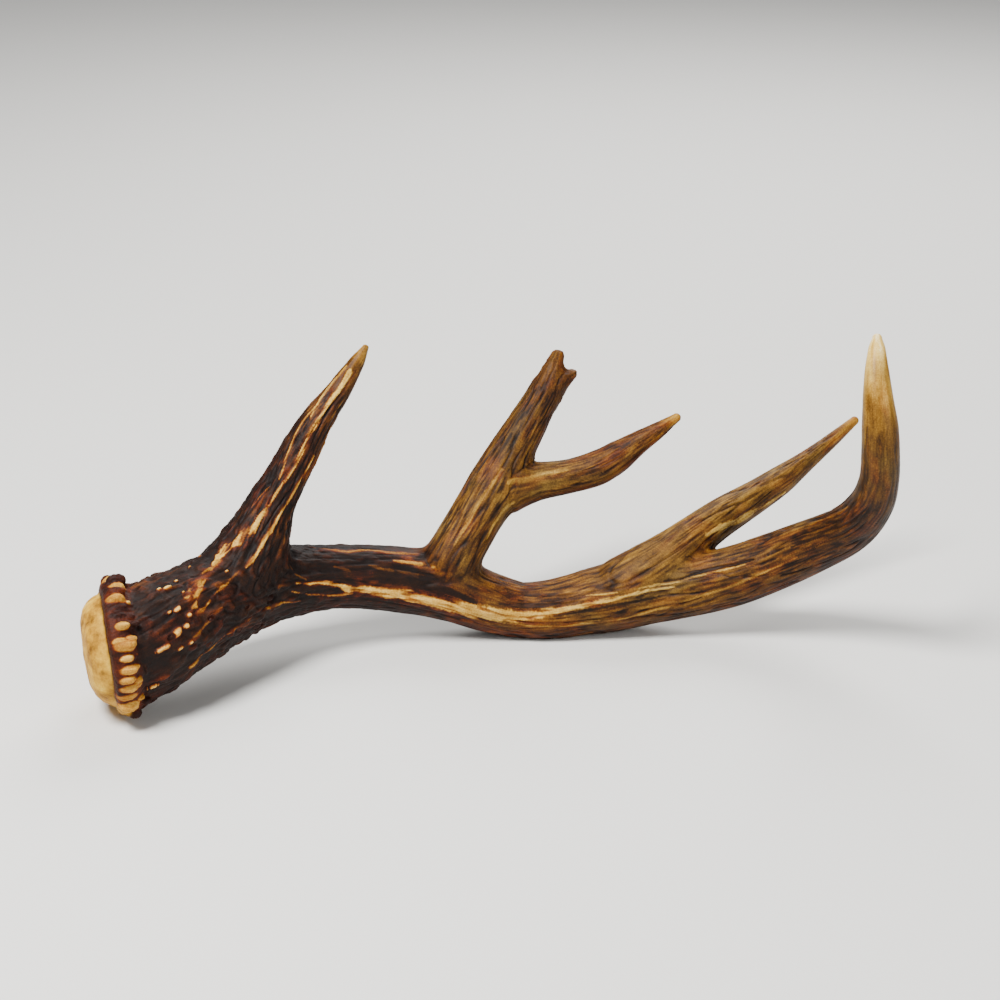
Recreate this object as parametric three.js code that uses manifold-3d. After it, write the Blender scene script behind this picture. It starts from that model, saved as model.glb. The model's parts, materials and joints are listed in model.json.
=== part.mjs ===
// A shed deer antler, lying on its burr and on the underside of its beam with the tines up.
// Millimetres, +Z up. The beam runs towards +X and bows away towards +Y in the middle.
// The antler is one bone. It is grown here as one solid and parted at its main forks.
import * as THREE from "three";
import { mergeVertices } from "three/addons/utils/BufferGeometryUtils.js";
import Module from "manifold-3d";

const wasm = await Module();
wasm.setup();

// Where the burr's centre lies. It puts the middle of the antler's box above the origin.
const BURR_CENTRE = new THREE.Vector3(-161.4, -60.8, 28.8);
// The seal faces -X, turned this far towards -Y and tipped this far down.
const BURR_TURN_DEG = 13;
const BURR_TIP_DEG = 4;

// The burr: a beaded ring round the seal, which is the convex face that left the skull.
const BURR_RADIUS = 30.5;
const BURR_BEADS = 40;
const BEAD_DEPTH = 1.6;
const SEAL_RADIUS = 25.5;
const SEAL_CROWN = 11;
const RIM_THICKNESS = 9;
const FOOT_RADIUS = 25;
const FOOT_SINK = 6;

// The limbs' middle lines. A row is x, y and z from the burr's centre, and the limb's radius.
const BEAM = [
  [8, 1, 0, 25],
  [16, 5, 1, 24],
  [22, 11, 4.5, 22.5],
  [37, 29, 7.5, 20.5],
  [55, 46, 6.5, 17.5],
  [76, 60, 5.5, 15],
  [98, 69, 3, 14.2],
  [120, 75, -1, 14.8],
  [142, 77, -6.5, 14.8],
  [160, 77.5, -13.5, 13.6],
  [174, 77.2, -17.2, 12.6],
  [187, 77.7, -17, 13.2],
  [209, 80.5, -14, 15],
  [225, 81.5, -11, 15],
  [245, 80.5, -7.5, 14.2],
  [272, 77.5, 0.5, 13.5],
  [296, 69.5, 14, 12.5],
  [316.5, 55.5, 31.5, 11],
  [324.5, 42.5, 49, 9.6],
  [326.2, 35.5, 63, 8.6],
  [325.7, 32.7, 76, 8.2],
  [324.8, 33, 88, 7.8],
  [323.7, 35.5, 99, 6.6],
  [323.2, 40, 110, 5.2],
  [323.4, 45, 119, 3.6],
  [323.6, 47.5, 123.5, 1.2],
];
const BROW_TINE = [
  [47, 36, 4, 16],
  [53, 42, 18, 14.8],
  [58.5, 47, 30, 12.6],
  [64.5, 53, 43.5, 10.4],
  [73.5, 59.5, 59, 8.8],
  [84, 67, 77, 7.4],
  [95, 73, 90.5, 5.3],
  [102.5, 77.5, 101.5, 3.7],
  [106.3, 80, 107.5, 1.2],
];
const FORKED_TINE = [
  [133, 70, -8, 13],
  [137.5, 73, 2, 13.6],
  [144, 77.5, 12.5, 13],
  [151.5, 83, 22.5, 12.2],
  [160.6, 90.5, 36, 11.6],
  [169.2, 98.5, 50.5, 10.2],
  [178.2, 105.5, 64.5, 8.6],
  [185.5, 110.5, 77, 6.9],
  [188.5, 113, 85.5, 5],
  [191.3, 115, 93, 2.4],
];
// The nub on the side of the forked tine's knobbly end.
const SIDE_NUB = [
  [185, 110.5, 76, 4.5],
  [190, 112, 80.5, 4],
  [197, 113.5, 84, 1.8],
];
const LOWER_PRONG = [
  [159, 89.5, 32, 10.5],
  [168, 91.5, 36, 10],
  [180.5, 93.5, 38.8, 8.8],
  [197, 94.7, 41.3, 7.9],
  [209.5, 95.8, 45.2, 7.9],
  [218.5, 97.3, 50.3, 7.1],
  [226.5, 98.7, 55.5, 5.5],
  [235.5, 100, 61, 4],
  [245.2, 101.7, 67.5, 1.2],
];
const THIRD_TINE = [
  [225, 79, -8, 13],
  [233, 81, -3, 13.4],
  [243, 85.5, 4, 12.4],
  [253.5, 91.8, 11, 11],
  [265, 99.8, 17.3, 9.7],
  [281, 111.5, 23.3, 8.3],
  [297, 123.7, 29.5, 6.3],
  [314, 136.5, 37.8, 4.2],
  [331, 149.5, 47.3, 1.3],
];

// Where the limbs part: how far along its middle line each is cut, as a share of its length.
const PARTINGS = [
  { limb: "beam", at: 0.2 },
  { limb: "brow", at: 0.34 },
  { limb: "beam", at: 0.41 },
  { limb: "forked", at: 0.24 },
  { limb: "forked", at: 0.67 },
  { limb: "prong", at: 0.33 },
  { limb: "beam", at: 0.655 },
  { limb: "third", at: 0.35 },
];
// A point inside each piece, as a share of a limb's length, tells which piece is which.
const PIECES = [
  { name: "base_and_burr", limb: "beam", at: 0.05 },
  { name: "brow_tine", limb: "brow", at: 0.6 },
  { name: "lower_beam", limb: "beam", at: 0.25 },
  { name: "forked_tine", limb: "forked", at: 0.4 },
  { name: "upper_prong", limb: "forked", at: 0.75 },
  { name: "lower_prong", limb: "prong", at: 0.6 },
  { name: "middle_beam", limb: "beam", at: 0.5 },
  { name: "third_tine", limb: "third", at: 0.7 },
  { name: "beam_end", limb: "beam", at: 0.8 },
];
const GAP = 0.3;
const KNIFE_REACH = 1.5;

// How finely the limbs are faceted.
const BEAM_SIDES = 16;
const TINE_SIDES = 12;
const ROW_STEP = 8;
const TABLE_SIZE = 800;

const darkBone = { color: 0x2c1a10, roughness: 0.6, metalness: 0 };
const brownBone = { color: 0x6f5637, roughness: 0.55, metalness: 0 };
const paleBone = { color: 0x9c8050, roughness: 0.4, metalness: 0 };
const FINISHES = {
  base_and_burr: darkBone,
  brow_tine: darkBone,
  lower_beam: darkBone,
  forked_tine: brownBone,
  upper_prong: brownBone,
  lower_prong: brownBone,
  middle_beam: brownBone,
  third_tine: brownBone,
  beam_end: paleBone,
};

// A closed three.js shape as a solid: only its points and faces are kept, with shared corners.
function solid(geometry) {
  const bare = geometry.toNonIndexed();
  bare.deleteAttribute("normal");
  bare.deleteAttribute("uv");
  const merged = mergeVertices(bare, 1e-4);
  return new wasm.Manifold(
    new wasm.Mesh({
      numProp: 3,
      vertProperties: new Float32Array(merged.attributes.position.array),
      triVerts: new Uint32Array(merged.index.array),
    }),
  );
}

// A solid as a three.js shape again.
function shape(body) {
  const mesh = body.getMesh();
  const geometry = new THREE.BufferGeometry();
  geometry.setAttribute("position", new THREE.BufferAttribute(mesh.vertProperties, 3));
  geometry.setIndex(new THREE.BufferAttribute(mesh.triVerts, 1));
  geometry.computeVertexNormals();
  return geometry;
}

// A limb: its middle line through the listed points, and its radius along that line.
function limb(rows, sides) {
  const points = rows.map(([x, y, z]) => new THREE.Vector3(x, y, z).add(BURR_CENTRE));
  const line = new THREE.CatmullRomCurve3(points, false, "centripetal");
  const radii = rows.map((row) => row[3]);
  const radiusAt = (share) => {
    const place = line.getUtoTmapping(share) * (radii.length - 1);
    const before = Math.min(Math.floor(place), radii.length - 2);
    return THREE.MathUtils.lerp(radii[before], radii[before + 1], place - before);
  };
  return { line, radiusAt, sides };
}

// A closed cylinder bent along a limb's middle line, as thick at each row as the limb is there.
function bentCylinder({ line, radiusAt, sides }) {
  const rowCount = Math.ceil(line.getLength() / ROW_STEP);
  const geometry = new THREE.CylinderGeometry(1, 1, 1, sides, rowCount);
  const frames = line.computeFrenetFrames(rowCount, false);
  const place = geometry.attributes.position;
  for (let i = 0; i < place.count; i += 1) {
    const row = Math.round((0.5 - place.getY(i)) * rowCount);
    const share = row / rowCount;
    const radius = radiusAt(share);
    const point = line
      .getPointAt(share)
      .addScaledVector(frames.normals[row], place.getX(i) * radius)
      .addScaledVector(frames.binormals[row], place.getZ(i) * radius);
    place.setXYZ(i, point.x, point.y, point.z);
  }
  return geometry;
}

// The burr and its seal, turned about their axis, with the ring swelling into beads.
function burrShape() {
  const crown = [0, 0.35, 0.65, 0.88].map(
    (share) => new THREE.Vector2(share * SEAL_RADIUS, SEAL_CROWN * Math.sqrt(1 - share ** 2)),
  );
  const profile = [
    ...crown,
    new THREE.Vector2(SEAL_RADIUS, 1.5),
    new THREE.Vector2(BURR_RADIUS - 1.5, 0),
    new THREE.Vector2(BURR_RADIUS, -RIM_THICKNESS * 0.4),
    new THREE.Vector2(BURR_RADIUS - 2, -RIM_THICKNESS),
    new THREE.Vector2(FOOT_RADIUS, -RIM_THICKNESS - 1),
    new THREE.Vector2(FOOT_RADIUS - 3, -RIM_THICKNESS - FOOT_SINK),
    new THREE.Vector2(0, -RIM_THICKNESS - FOOT_SINK),
  ].reverse();
  const geometry = new THREE.LatheGeometry(profile, BURR_BEADS * 2);
  const place = geometry.attributes.position;
  for (let i = 0; i < place.count; i += 1) {
    const out = Math.hypot(place.getX(i), place.getZ(i));
    const onRim = out > SEAL_RADIUS + 1 && place.getY(i) > -RIM_THICKNESS - 0.5;
    const turn = Math.atan2(place.getZ(i), place.getX(i));
    const beading = onRim ? 1 + (BEAD_DEPTH / 2 / BURR_RADIUS) * (Math.cos(BURR_BEADS * turn) - 1) : 1;
    place.setX(i, place.getX(i) * beading);
    place.setZ(i, place.getZ(i) * beading);
  }
  geometry.rotateZ(Math.PI / 2);
  geometry.rotateY(-THREE.MathUtils.degToRad(BURR_TIP_DEG));
  geometry.rotateZ(THREE.MathUtils.degToRad(BURR_TURN_DEG));
  geometry.translate(BURR_CENTRE.x, BURR_CENTRE.y, BURR_CENTRE.z);
  return geometry;
}

// A thin blade across a limb, as thick as the gap that it leaves.
function knife({ line, radiusAt }, share) {
  const reach = radiusAt(share) * 2 * KNIFE_REACH;
  const blade = new THREE.BoxGeometry(reach, reach, GAP);
  const facing = new THREE.Quaternion().setFromUnitVectors(
    new THREE.Vector3(0, 0, 1),
    line.getTangentAt(share),
  );
  blade.applyQuaternion(facing);
  const centre = line.getPointAt(share);
  blade.translate(centre.x, centre.y, centre.z);
  return blade;
}

const limbs = {
  beam: limb(BEAM, BEAM_SIDES),
  brow: limb(BROW_TINE, TINE_SIDES),
  forked: limb(FORKED_TINE, TINE_SIDES),
  nub: limb(SIDE_NUB, TINE_SIDES),
  prong: limb(LOWER_PRONG, TINE_SIDES),
  third: limb(THIRD_TINE, TINE_SIDES),
};

const grown = Object.values(limbs)
  .map((each) => solid(bentCylinder(each)))
  .reduce((whole, next) => whole.add(next), solid(burrShape()));

// The antler bears on two small flats, where its burr and its beam meet the table.
const table = new THREE.BoxGeometry(TABLE_SIZE, TABLE_SIZE, TABLE_SIZE);
table.translate(0, 0, -TABLE_SIZE / 2);
const resting = grown.subtract(solid(table));

const parted = PARTINGS.reduce(
  (rest, { limb: name, at }) => rest.subtract(solid(knife(limbs[name], at))),
  resting,
).decompose();

function pieceAround(point) {
  const holds = parted.filter((body) => {
    const { min, max } = body.boundingBox();
    const box = new THREE.Box3(new THREE.Vector3(...min), new THREE.Vector3(...max));
    return box.containsPoint(point);
  });
  holds.sort((a, b) => a.volume() - b.volume());
  return holds[0];
}

const antler = new THREE.Group();
for (const { name, limb: limbName, at } of PIECES) {
  const body = pieceAround(limbs[limbName].line.getPointAt(at));
  const mesh = new THREE.Mesh(shape(body), new THREE.MeshStandardMaterial(FINISHES[name]));
  mesh.name = name;
  antler.add(mesh);
}

export default antler;
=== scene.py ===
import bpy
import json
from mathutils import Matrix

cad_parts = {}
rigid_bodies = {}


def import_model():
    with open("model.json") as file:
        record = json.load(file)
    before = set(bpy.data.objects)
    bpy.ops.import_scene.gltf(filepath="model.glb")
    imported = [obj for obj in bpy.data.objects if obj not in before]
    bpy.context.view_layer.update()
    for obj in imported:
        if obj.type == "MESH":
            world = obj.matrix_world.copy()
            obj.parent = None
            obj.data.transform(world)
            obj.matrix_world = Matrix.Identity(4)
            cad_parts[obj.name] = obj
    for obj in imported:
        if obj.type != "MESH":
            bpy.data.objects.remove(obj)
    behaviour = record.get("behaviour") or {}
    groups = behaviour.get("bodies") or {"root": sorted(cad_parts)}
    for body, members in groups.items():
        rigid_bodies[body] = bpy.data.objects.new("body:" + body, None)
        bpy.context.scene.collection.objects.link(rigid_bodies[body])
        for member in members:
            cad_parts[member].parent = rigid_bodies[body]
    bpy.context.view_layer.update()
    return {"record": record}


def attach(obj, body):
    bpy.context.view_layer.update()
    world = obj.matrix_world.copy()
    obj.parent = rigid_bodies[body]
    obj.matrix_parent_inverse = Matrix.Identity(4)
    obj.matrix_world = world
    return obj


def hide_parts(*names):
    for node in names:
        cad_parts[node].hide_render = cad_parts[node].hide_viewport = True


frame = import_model()

import json
import math
from types import SimpleNamespace

import bmesh
import bpy
import numpy as np
from mathutils import Euler, Matrix, Vector

bl_info = {
    "name": "Deer Antler",
    "version": (1, 0, 0),
    "blender": (4, 5, 0),
    "location": "View3D > Sidebar > Antler",
    "description": "Grows a shed deer antler with its burr, beads, gutters and worn stain",
    "category": "Add Mesh",
}

# ---------------------------------------------------------------------------------------------
# Sizes. Lengths inside the shaping code are millimetres, and Blender's are metres.
# ---------------------------------------------------------------------------------------------
MM = 0.001

BURR_CENTRE = np.array([-161.4, -60.8, 28.8])
BURR_TURN_DEG = 13
BURR_TIP_DEG = 4

# The limbs' middle lines: x, y and z from the burr's centre, and the limb's radius.
LIMB_ROWS = {
    "beam": [
        (4, 0.9, 0.2, 25.2),
        (9, 2.6, 0.7, 24.8),
        (16, 7, 2, 24),
        (24.5, 14.8, 4, 22.6),
        (38, 29, 6.6, 20.6),
        (55, 46, 6.5, 17.5),
        (76, 60, 5.5, 15),
        (98, 69, 3, 14.2),
        (120, 75, -1, 14.8),
        (142, 77, -6.5, 14.8),
        (160, 77.5, -13.5, 13.6),
        (174, 77.2, -17.2, 12.6),
        (187, 77.7, -17, 13.2),
        (209, 80.5, -14, 15),
        (225, 81.5, -11, 15),
        (245, 80.5, -7.5, 14.2),
        (272, 77.5, 0.5, 13.5),
        (296, 69.5, 14, 12.5),
        (316.5, 55.5, 31.5, 11),
        (324.5, 42.5, 49, 9.6),
        (326.2, 35.5, 63, 8.6),
        (325.7, 32.7, 76, 8.2),
        (324.8, 33, 88, 7.8),
        (323.7, 35.5, 99, 6.6),
        (323.2, 40, 110, 5.2),
        (323.4, 45, 119, 3.6),
        (323.6, 47.5, 123.5, 1.7),
    ],
    "brow": [
        (44, 34, 6, 19.5),
        (51.5, 41, 18, 16.8),
        (58, 46.5, 30, 13.5),
        (64.5, 53, 43.5, 10.7),
        (73.5, 59.5, 59, 8.8),
        (84, 67, 77, 7.4),
        (95, 73, 90.5, 5.3),
        (102.5, 77.5, 101.5, 3.4),
        (106.4, 80.1, 107.8, 1.2),
    ],
    "forked": [
        (136.5, 72, -8, 11),
        (140, 74.5, 2, 12.4),
        (145.5, 78, 12.5, 12.4),
        (152, 83.2, 22.5, 12),
        (160.6, 90.5, 36, 11.6),
        (169.2, 98.5, 50.5, 10.2),
        (178.2, 105.5, 64.5, 8.6),
        (185.5, 110.5, 77, 6.9),
        (188.5, 113, 85.5, 5),
        (191.3, 115, 93, 2.4),
    ],
    "nub": [
        (184.5, 110.5, 73, 5.6),
        (190.5, 112, 79.5, 4.8),
        (198.5, 113.5, 84, 1.6),
    ],
    "prong": [
        (159, 89.5, 32, 10.5),
        (168, 91.5, 36, 10),
        (180.5, 93.5, 38.8, 8.8),
        (197, 94.7, 41.3, 7.9),
        (209.5, 95.8, 45.2, 7.9),
        (218.5, 97.3, 50.3, 7.1),
        (226.5, 98.7, 55.5, 5.5),
        (235.5, 100, 61, 4),
        (245.2, 101.7, 67.5, 1.8),
    ],
    "third": [
        (205, 77, -11.5, 12),
        (215, 78.5, -8.8, 13),
        (225, 80, -3.8, 13.1),
        (233, 82, 0.5, 12.9),
        (243, 86, 6.1, 11.8),
        (253.5, 91.8, 12.7, 9.9),
        (265, 99.8, 18.2, 8.9),
        (281, 111.5, 23.6, 7.9),
        (297, 123.7, 29.5, 6.3),
        (314, 136.5, 37.8, 4.2),
        (332.5, 150.6, 48.1, 2.1),
    ],
}

# Where the limbs part, as a share of each limb's length, and a place inside each piece.
PARTINGS = [
    ("beam", 0.2045),
    ("brow", 0.34),
    ("beam", 0.413),
    ("forked", 0.24),
    ("forked", 0.67),
    ("prong", 0.33),
    ("beam", 0.657),
    ("third", 0.44),
]
PIECES = {
    "base_and_burr": ("beam", 0.05),
    "brow_tine": ("brow", 0.6),
    "lower_beam": ("beam", 0.25),
    "forked_tine": ("forked", 0.4),
    "upper_prong": ("forked", 0.75),
    "lower_prong": ("prong", 0.6),
    "middle_beam": ("beam", 0.5),
    "third_tine": ("third", 0.7),
    "beam_end": ("beam", 0.8),
}

# The direction that the antler's outer face looks in. Marks are placed across that face.
FRONT = np.array([0.0, -0.927, 0.375])

# How a limb looks along its length. A row is the share of the length, then
# tone (0 black-brown, 1 ivory), rust, olive, guttering, ridging, knobbles and polish.
LOOKS = {
    "beam": [
        (0.00, 0.09, 0.35, 0.00, 0.50, 0.50, 1.00, 0.00),
        (0.14, 0.09, 0.30, 0.00, 0.80, 0.70, 0.90, 0.00),
        (0.22, 0.10, 0.30, 0.00, 0.80, 0.35, 0.35, 0.10),
        (0.30, 0.13, 0.35, 0.05, 0.80, 0.25, 0.15, 0.15),
        (0.34, 0.22, 0.35, 0.10, 0.80, 0.10, 0.05, 0.15),
        (0.40, 0.34, 0.35, 0.10, 0.90, 0.00, 0.00, 0.15),
        (0.48, 0.38, 0.30, 0.20, 1.00, 0.10, 0.00, 0.15),
        (0.60, 0.38, 0.20, 0.30, 1.00, 0.10, 0.00, 0.20),
        (0.70, 0.34, 0.25, 0.25, 1.00, 0.00, 0.00, 0.25),
        (0.78, 0.26, 0.25, 0.20, 0.90, 0.00, 0.00, 0.35),
        (0.83, 0.22, 0.20, 0.25, 0.70, 0.00, 0.00, 0.50),
        (0.87, 0.33, 0.15, 0.35, 0.45, 0.00, 0.00, 0.60),
        (0.91, 0.42, 0.05, 0.30, 0.35, 0.00, 0.00, 0.65),
        (0.95, 0.63, 0.00, 0.15, 0.15, 0.00, 0.00, 0.80),
        (1.00, 0.90, 0.00, 0.00, 0.00, 0.00, 0.00, 0.95),
    ],
    "brow": [
        (0.00, 0.10, 0.30, 0.00, 0.90, 0.80, 0.80, 0.00),
        (0.35, 0.11, 0.30, 0.00, 1.00, 1.00, 0.45, 0.05),
        (0.58, 0.18, 0.30, 0.00, 1.00, 1.00, 0.25, 0.10),
        (0.76, 0.29, 0.25, 0.05, 0.90, 0.80, 0.10, 0.20),
        (0.90, 0.38, 0.15, 0.10, 0.60, 0.40, 0.00, 0.35),
        (1.00, 0.62, 0.00, 0.10, 0.10, 0.00, 0.00, 0.55),
    ],
    "forked": [
        (0.00, 0.36, 0.30, 0.25, 0.80, 0.00, 0.00, 0.15),
        (0.30, 0.39, 0.12, 0.25, 1.00, 0.00, 0.00, 0.10),
        (0.60, 0.35, 0.14, 0.20, 1.00, 0.00, 0.00, 0.10),
        (0.85, 0.28, 0.20, 0.15, 1.00, 0.00, 0.25, 0.10),
        (1.00, 0.36, 0.20, 0.10, 0.50, 0.00, 0.35, 0.20),
    ],
    "nub": [
        (0.00, 0.32, 0.25, 0.10, 0.60, 0.00, 0.30, 0.10),
        (1.00, 0.42, 0.25, 0.05, 0.40, 0.00, 0.30, 0.20),
    ],
    "prong": [
        (0.00, 0.42, 0.20, 0.25, 0.80, 0.00, 0.00, 0.15),
        (0.30, 0.42, 0.20, 0.40, 0.80, 0.00, 0.00, 0.15),
        (0.70, 0.34, 0.35, 0.10, 0.90, 0.00, 0.00, 0.20),
        (0.90, 0.40, 0.25, 0.00, 0.60, 0.00, 0.00, 0.35),
        (1.00, 0.66, 0.05, 0.00, 0.10, 0.00, 0.00, 0.45),
    ],
    "third": [
        (0.00, 0.42, 0.15, 0.45, 0.80, 0.00, 0.00, 0.15),
        (0.30, 0.46, 0.15, 0.40, 0.80, 0.00, 0.00, 0.15),
        (0.60, 0.42, 0.15, 0.35, 0.90, 0.00, 0.00, 0.15),
        (0.85, 0.42, 0.20, 0.20, 0.70, 0.00, 0.00, 0.25),
        (1.00, 0.62, 0.20, 0.00, 0.20, 0.00, 0.00, 0.40),
    ],
}

# Worn and stained marks; the dark strip down the beam end's left side is partly painted shade. Each has its
# limb, the tone it brings, how far it stands proud in
# millimetres, and its course: millimetres along the limb, degrees round it from its outer
# face, and half its width in millimetres.
MARKS = [
    ("brow", 0.76, 0.35, [(12, 29, 1.2), (17, 36, 1.8), (22, 31, 2.1), (26, 22, 2.6),
                          (32, 11, 2.2), (38, 4, 1.4), (47, -1, 1.0)]),
    ("brow", 0.78, 0.40, [(47, -1, 0.9), (57, -6, 0.7), (67, -14, 0.7), (79, -10, 0.7),
                          (88, -10, 0.8), (98, -4, 1.0), (105, -3, 1.2), (115, 2, 1.3)]),
    ("brow", 0.76, 0.40, [(19, -11, 0.6), (27, -18, 0.8), (34, -22, 1.1), (40, -30, 0.9),
                          (47, -37, 0.6), (54, -43, 0.5), (62, -47, 0.5), (75, -56, 0.4)]),
    ("brow", 0.66, 0.30, [(59, 6, 0.3), (69, 20, 0.5), (79, 32, 0.4), (86, 34, 0.45), (95, 28, 0.5)]),
    ("brow", 0.55, 0.20, [(43, 33, 0.3), (48, 30, 0.4), (55, 21, 0.3)]),
    ("brow", 0.70, 0.20, [(89, 19, 0.5), (100, 45, 0.6), (108, 52, 0.7), (116, 44, 0.7)]),
    ("beam", 0.62, 0.25, [(24, 18, 0.8), (30, 27, 1.4), (37, 34, 1.5), (46, 44, 1.0)]),
    ("beam", 0.64, 0.30, [(19, -5, 1.0), (24, 4, 1.7), (30, 15, 1.9), (37, 28, 1.0)]),
    ("beam", 0.60, 0.20, [(24, -4, 0.6), (29, -3, 0.8), (35, 5, 0.4), (44, 14, 0.4)]),
    ("beam", 0.42, 0.20, [(45, 17, 0.3), (52, 24, 0.5), (55, 27, 0.3)]),
    ("beam", 0.45, 0.25, [(16, -26, 0.4), (22, -21, 0.6), (29, -17, 0.6), (35, -12, 0.3)]),
    ("beam", 0.55, 0.25, [(14, -52, 0.3), (27, -49, 0.4), (43, -40, 0.4), (54, -30, 0.5),
                          (70, -28, 0.4), (84, -35, 0.3)]),
    ("beam", 0.74, 0.30, [(82, -5, 0.5), (90, -8, 0.7), (98, -7, 0.8), (105, -13, 1.0),
                          (110, -20, 1.4), (118, -21, 2.0), (127, -24, 2.7), (136, -24, 3.0),
                          (150, -27, 3.0), (163, -28, 3.1), (174, -23, 3.6), (186, -19, 3.6),
                          (195, -11, 2.9), (205, -4, 2.0), (215, -2, 1.4), (224, 0, 1.1),
                          (237, 1, 1.0), (247, 2, 0.9), (257, 5, 0.8), (268, 4, 0.5)]),
    ("beam", 0.62, 0.20, [(79, -16, 0.3), (90, -27, 0.4), (104, -32, 0.4), (113, -30, 0.3)]),
    ("beam", 0.40, 0.10, [(79, 28, 0.3), (82, 10, 0.5), (88, -1, 0.4)]),
    ("beam", 0.48, 0.10, [(96, 70, 0.3), (105, 56, 0.7), (112, 51, 0.7), (121, 58, 0.5),
                          (130, 53, 0.7), (143, 56, 0.8)]),
    ("beam", 0.56, 0.10, [(132, 35, 0.5), (138, 35, 0.9), (145, 33, 1.0)]),
    ("beam", 0.30, 0.10, [(104, 20, 0.6), (108, 16, 1.0), (111, 12, 0.6)]),
    ("beam", 0.34, 0.10, [(120, 23, 0.5), (127, 16, 0.9), (139, 14, 1.0), (144, 13, 0.8)]),
    ("beam", 0.68, 0.15, [(225, 15, 0.4), (237, 9, 0.6), (251, 9, 0.6), (264, 12, 0.6),
                          (276, 16, 0.5), (290, 18, 0.5), (305, 18, 0.3)]),
    ("beam", 0.10, -0.50, [(271, 16, 0.4), (280, 23, 0.8), (290, 25, 0.9), (301, 23, 0.8), (310, 23, 0.4)]),
    ("beam", 0.16, -0.30, [(210, -12, 0.4), (223, -11, 0.7), (236, -10, 0.7), (250, -11, 0.7),
                           (263, -8, 0.4)]),
    ("beam", 0.58, 0.12, [(187, -30, 0.3), (201, -30, 0.5), (214, -35, 0.6), (229, -37, 0.6),
                          (245, -38, 0.6), (262, -30, 0.6), (274, -23, 0.6), (287, -18, 0.6),
                          (302, -12, 0.6), (317, -7, 0.5), (332, -5, 0.3)]),
    ("beam", 0.20, 0.00, [(184, 5, 0.7), (195, 11, 1.2), (205, 12, 1.1), (211, 12, 0.6)]),
    ("beam", 0.08, 0.00, [(126, 2, 3.0), (135, 2, 3.2), (145, 0, 2.8), (155, -2, 2.2),
                          (164, -5, 1.4), (173, -5, 0.8)]),
    ("beam", 0.62, 0.10, [(150, 30, 0.6), (157, 25, 1.2), (162, 28, 1.0), (166, 36, 0.5)]),
    ("beam", 0.20, -0.20, [(331, 19, 0.3), (347, 23, 0.7), (367, 41, 0.7), (382, 58, 0.4)]),
    # A dark sunk strip down the beam end's left side: partly streaky stain, partly painted side shade.
    ("beam", 0.22, -0.15, [(389, 53, 0.4), (401, 62, 0.7), (411, 62, 0.5), (421, 54, 0.3)]),
    ("beam", 0.45, 0.10, [(317, 52, 0.3), (335, 57, 0.6), (356, 63, 0.6), (375, 65, 0.4)]),
    ("third", 0.72, 0.15, [(58, -11, 1.0), (66, -19, 1.7), (75, -32, 1.8), (86, -40, 1.4),
                           (97, -50, 1.0), (106, -55, 0.5)]),
    ("prong", 0.56, 0.10, [(11, 13, 1.0), (19, 13, 1.7), (25, 15, 1.8), (33, 22, 1.5), (38, 24, 0.8)]),
    ("forked", 0.58, 0.15, [(24, 9, 0.5), (31, 9, 0.9), (40, 8, 1.0), (51, 6, 1.0), (63, -1, 0.8)]),
    ("forked", 0.60, 0.15, [(33, -49, 0.4), (39, -44, 0.7), (48, -47, 0.9), (55, -60, 0.7), (62, -70, 0.5)]),
]

# Cream pearls on the stem's outer face: millimetres along the beam, degrees round it, half
# the length and half the width in millimetres.
PEARLS = [
    (17, 40, 1.1, 0.7),
    (20, 37, 1.9, 0.8),
    (26, 41, 1.0, 0.7),
    (14, 12, 1.0, 0.7),
    (17, 10, 1.6, 1.0),
    (17, -9, 1.3, 1.1),
    (20, -1, 1.1, 0.9),
    (12, -24, 1.1, 0.8),
    (13, -9, 2.0, 1.8),
    (7, -15, 2.2, 1.0),
    (8, -14, 0.6, 0.4),
    (16, -26, 0.9, 0.6),
    (3, -50, 1.1, 1.0),
    (45, 71, 0.7, 0.5),
    (37, 55, 0.7, 0.5),
    (46, 28, 0.8, 0.5),
    (28, -17, 0.8, 0.5),
    (24, 24, 0.8, 0.5),
]
PEARL_TONE = 0.80
PEARL_HEIGHT = 1.0
# The beam's marks and pearls are measured from this far along its line, in millimetres.
BEAM_MARKS_START = 2.6

SEEDS = {"burr": 11, "mottle": 21, "patch": 22, "swell": 23, "knob": 24, "broad": 31, "medium": 32,
         "thin": 33, "ridge": 34, "gap": 35, "edge": 36, "rust": 37, "olive": 38, "pore": 39, "serration": 40}

# A middle line has a sample every millimetre or a little more.
SAMPLE_STEP = 1.0
CURVE_STEPS = 24
# The beam's line is drawn on straight through the burr, by up to this many pairs of samples.
BEFORE_BEAM = 15
# Grain is as wide as it says on a limb of this radius, and a little finer on a thinner one.
REFERENCE_RADIUS = 14.0
# Points are looked up this many at a time, to save memory.
CHUNK = 20000


# ---------------------------------------------------------------------------------------------
# Small helpers
# ---------------------------------------------------------------------------------------------
def linear(hex_colour):
    """An sRGB hex value as the linear colour, with alpha, that nodes and properties take."""
    channels = [int(hex_colour[i:i + 2], 16) / 255 for i in (1, 3, 5)]
    return [c / 12.92 if c <= 0.04045 else ((c + 0.055) / 1.055) ** 2.4 for c in channels] + [1.0]


def add_node(tree, kind, settings=None, inputs=None):
    """Adds one node: its settings are properties, and an input is a value or another's output."""
    node = tree.nodes.new(kind)
    for name, value in (settings or {}).items():
        setattr(node, name, value)
    for name, value in (inputs or {}).items():
        socket = node.inputs[name]
        if isinstance(value, bpy.types.NodeSocket):
            tree.links.new(value, socket)
        else:
            socket.default_value = value
    return node


def rise(low, high, value):
    """0 below low, 1 above high, and a smooth S between them."""
    share = np.clip((value - low) / (high - low), 0, 1)
    return share * share * (3 - 2 * share)


def unit(vectors):
    return vectors / np.maximum(np.linalg.norm(vectors, axis=-1, keepdims=True), 1e-9)


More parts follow.
